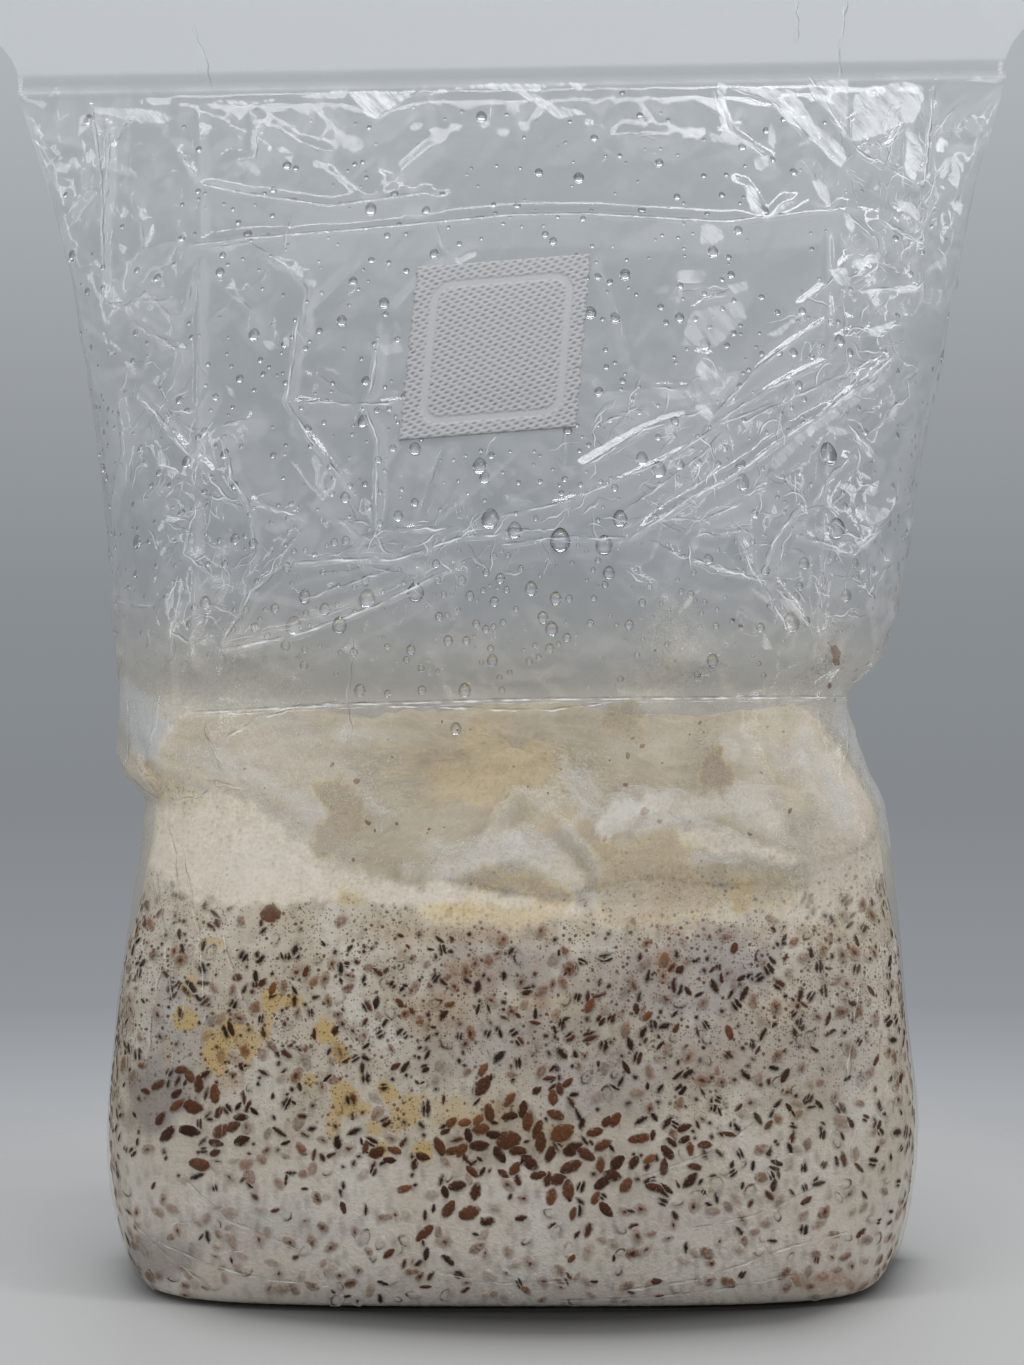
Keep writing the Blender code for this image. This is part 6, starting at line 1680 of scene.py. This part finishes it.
# The rings of a fleck of crust: their radius and height. The flecks: (x, z, size).
SPECK_RINGS = ((0.6, 0.25), (1.0, 0.0), (1.15, -0.1))
SPECKS = [
    (-50.2, 150.1, 0.7), (-43.7, 145.7, 0.9), (-39.9, 134.2, 0.9), (-38, 132, 0.5), (25.7, 129.8, 0.9),
    (32.3, 152.7, 0.9), (36.3, 155.4, 0.8), (36.9, 137.5, 1.1), (49.4, 134.7, 0.5), (52.6, 161.8, 0.6),
    (77.4, 137.4, 0.8), (43.6, 176.9, 0.8), (64, 188.9, 0.6), (31.9, 144.8, 0.7), (41, 134.6, 0.7),
    (66, 131, 0.7), (72, 124.6, 0.8), (-44, 124, 0.5), (-32, 134, 0.5), (-23, 132.5, 0.4), (62, 190.5, 0.5),
    (34, 157.5, 0.5), (40, 182, 0.4), (46, 179, 0.5), (91.2, 181.5, 1.9), (92.4, 178.8, 1.6), (89.5, 172, 0.8),
    (91, 168, 0.6)]
SPECKS += zip(*(thread_pick.uniform(*reach, 46).tolist() for reach in (
                    (-90.0, 92.0), (108.0, 168.0), (0.22, 0.42))))
speck_points, speck_tone = [], []
for x, z, size in SPECKS:
    place, out = (found[0] for found in film_points([to_u(x, z)], [z], -0.45))
    turn = thread_pick.uniform(0.0, math.pi)
    rings = np.array([(0.0, 0.0, 0.3)] + [(r * math.cos(a), r * math.sin(a), h) for r,
                                          h in SPECK_RINGS for a in turns])
    rings[:, :2] *= size * (1.0 + 0.14 * thread_pick.standard_normal((len(rings), 1)))
    rings[:, 1] *= thread_pick.uniform(0.5, 0.85)
    speck_points.append(set_down(rings, place, *turned(*level_and_up(out), turn), out))
    speck_tone.append(np.full(len(rings), thread_pick.uniform(0.55, 0.86)))
count = len(speck_points[0])
specks = new_mesh("stuck_specks", np.concatenate(speck_points),
                  np.concatenate([kernel_faces + i * count for i in range(len(SPECKS))]), grown_white,
                  values={"husk": np.full(count * len(SPECKS), 1.3), "tone": np.concatenate(speck_tone),
                          **{name: np.zeros(count * len(SPECKS)) for name in areas}})
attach(specks, "root")
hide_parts("grain_block")


# Condensation: beads of clear water on the inside of the film, most in the slack head of the bag.
DROP_SIDES, DROP_RINGS, DROP_COUNT, DROP_TRIES, DROP_HEIGHT = 12, 4, 1000, 9000, 0.36
drop_turns = np.linspace(0.0, 2.0 * math.pi, DROP_SIDES, endpoint=False)
bead = [(0.0, 0.0, 1.0)]
for ring in range(1, DROP_RINGS + 1):
    fall = math.pi / 2.0 * ring / DROP_RINGS
    bead += [(math.sin(fall) * math.cos(a), math.sin(fall) * math.sin(a), math.cos(fall)) for a in drop_turns]
bead.append((0.0, 0.0, 0.0))
bead = np.array(bead)
last = 1 + (DROP_RINGS - 1) * DROP_SIDES
bead_faces = np.array(dome_faces(DROP_SIDES, DROP_RINGS)
                      + [(len(bead) - 1, last + (i + 1) % DROP_SIDES, last + i) for i in range(DROP_SIDES)])

NAMED_DROPS = [
    (-41.2, 311.1, 1.8), (-45.8, 288.9, 1.3), (-36.7, 281.8, 1.6), (-48.7, 276.4, 1.6), (-91.9, 235.2, 1.6),
    (-27.3, 238.8, 1.8), (-9, 233.9, 2.1), (-7.6, 230.4, 1.6), (-46.3, 212.6, 1.2), (-60.9, 188.9, 2.4),
    (-48, 188.9, 2.1), (-40.4, 196.4, 2.4), (-26.8, 198.1, 2.4), (-52.2, 193.4, 1.6), (-66.2, 193.7, 1.3),
    (-71.9, 188.4, 1.3), (-68.2, 186.1, 1), (-62.6, 205.1, 1.3), (-13.9, 201.4, 1.3), (-11.7, 197.2, 1.3),
    (-20.3, 191.4, 1.2), (-17.8, 184.7, 1.4), (-5.3, 179.1, 1.6), (-3.3, 202, 1.4), (5.3, 199.2, 1.8),
    (-2.5, 189.7, 1), (8.6, 191.1, 1.6), (11.1, 188, 1.8), (15.3, 185.5, 1.2), (6.4, 183.3, 0.8),
    (0, 175.8, 0.8), (5, 179.1, 1), (0.8, 215.4, 2.1), (-6.1, 218.7, 2.6), (13.4, 212.6, 2.9),
    (25.6, 211.2, 2.4), (30.1, 218.7, 2.1), (36.5, 235.9, 1.8), (41.2, 232.5, 2.1), (52, 234.8, 1.3),
    (64.1, 234, 1.7), (64.5, 228.8, 2.1), (89.2, 237.3, 2.9), (91.3, 216.3, 2.6), (82.1, 206.4, 1.6),
    (78.1, 189.8, 2.6), (70.7, 204.3, 1.3), (72.2, 194.5, 1.2), (68, 220.3, 1.2), (79.8, 197.1, 1.2),
    (93.6, 270.6, 1.6), (76, 267, 1.2), (80.4, 267.1, 1.3), (96.6, 267.3, 1.2), (110.2, 262.3, 1),
    (106.1, 268.2, 1), (116.9, 292.5, 1), (111.9, 279.7, 0.9), (-83.9, 297, 1), (-80, 307.9, 0.9),
    (-109.7, 293.8, 1), (-122.6, 295.3, 0.9), (-122.2, 289.1, 0.8), (-109, 274.2, 1), (-22.6, 297.2, 1.4),
    (-25.1, 310.8, 1.2), (1.5, 312.4, 1.2), (37.9, 310.5, 1.3), (56.9, 309.3, 0.9), (43.3, 325.5, 1.4),
    (24.3, 334, 1.2), (38, 341.2, 1), (32.9, 348.7, 0.9), (29.5, 277.5, 1.6), (22.4, 279, 1.8),
    (11.9, 300.9, 1.2), (63.2, 290.5, 1.2), (48.4, 286.7, 1), (28.2, 288.5, 1), (42.7, 280.6, 1),
    (61.4, 269.2, 0.9), (75.3, 335.7, 1), (80.5, 338.7, 0.9), (77, 326.4, 1), (83, 322.6, 1.2),
    (112.3, 302.5, 1), (122, 298.7, 0.9), (85.6, 266, 1), (-15.6, 160.2, 1.6), (-25.2, 170.8, 1.3),
    (-13.2, 170.8, 1.8), (-34.7, 169.9, 1), (-42.6, 170.8, 1.6), (-2.8, 170.8, 1)]
drop_pick = random.Random(8)
patch_u = to_u(PATCH_X, PATCH_Z)
drops = [(to_u(x, z), z, r) for x, z, r in NAMED_DROPS]
for _ in range(DROP_TRIES):
    if len(drops) >= DROP_COUNT:
        break
    u, z = drop_pick.uniform(-165.0, 165.0), drop_pick.uniform(172.0, 345.0)
    if drop_pick.random() > 0.35 + 0.65 * math.exp(-(((z - 222.0) / 50.0) ** 2)) - 0.3 * (abs(u) > 110.0):
        continue
    radius = min(0.42 * math.exp(abs(drop_pick.gauss(0.0, 0.62))), 1.7)
    if math.hypot(u - patch_u, z - PATCH_Z) < 31.0 and abs(z - PATCH_Z) < 28.0:
        continue
    if any(math.hypot(u - a, z - b) < 1.1 * (radius + c) + 0.4 for a, b, c in drops):
        continue
    drops.append((u, z, radius))

drop_parts = []
drop_at, drop_out = film_points([u for u, _, _ in drops], [z for _, z, _ in drops], -0.12)
for (_, _, radius), place, out in zip(drops, drop_at, drop_out):
    # The larger ones hang: rounder and fuller below, drawn in above.
    sag = 0.22 * min(radius / 2.0, 1.0)
    hang = np.ones(bead.shape)
    hang[:, 0] -= sag * np.maximum(bead[:, 1], 0.0)
    hang[:, 1] += sag
    hang[:, 2] = -DROP_HEIGHT * (1.0 - 0.25 * min(radius / 2.4, 1.0) * bead[:, 1])
    drop_parts.append(set_down(bead * radius * hang, place, *level_and_up(out), out))
water, d_look = new_material("water")
# Painted shade: the drop's colour darkens towards its steep edge, which turns the light away.
d_edge = d_look.node("LayerWeight", Blend=0.5)
d_painted_rim_shade = d_look.ramp(d_edge.outputs["Facing"], [(0.0, (1.0, 1.0, 1.0)), (0.10, (0.98, 0.98, 0.98)),
                                               (0.22, (0.68, 0.69, 0.70)), (0.45, (0.24, 0.245, 0.25))])
d_glass = d_look.node("BsdfPrincipled", Roughness=0.0, IOR=1.33, Transmission_Weight=1.0, Base_Color=d_painted_rim_shade)
d_look.surface(d_glass)
drop_faces = np.concatenate([bead_faces[:, ::-1] + i * len(bead) for i in range(len(drops))])
beads = new_mesh("condensation", np.concatenate(drop_parts), drop_faces, water)
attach(beads, "root")
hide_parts("bag_film")
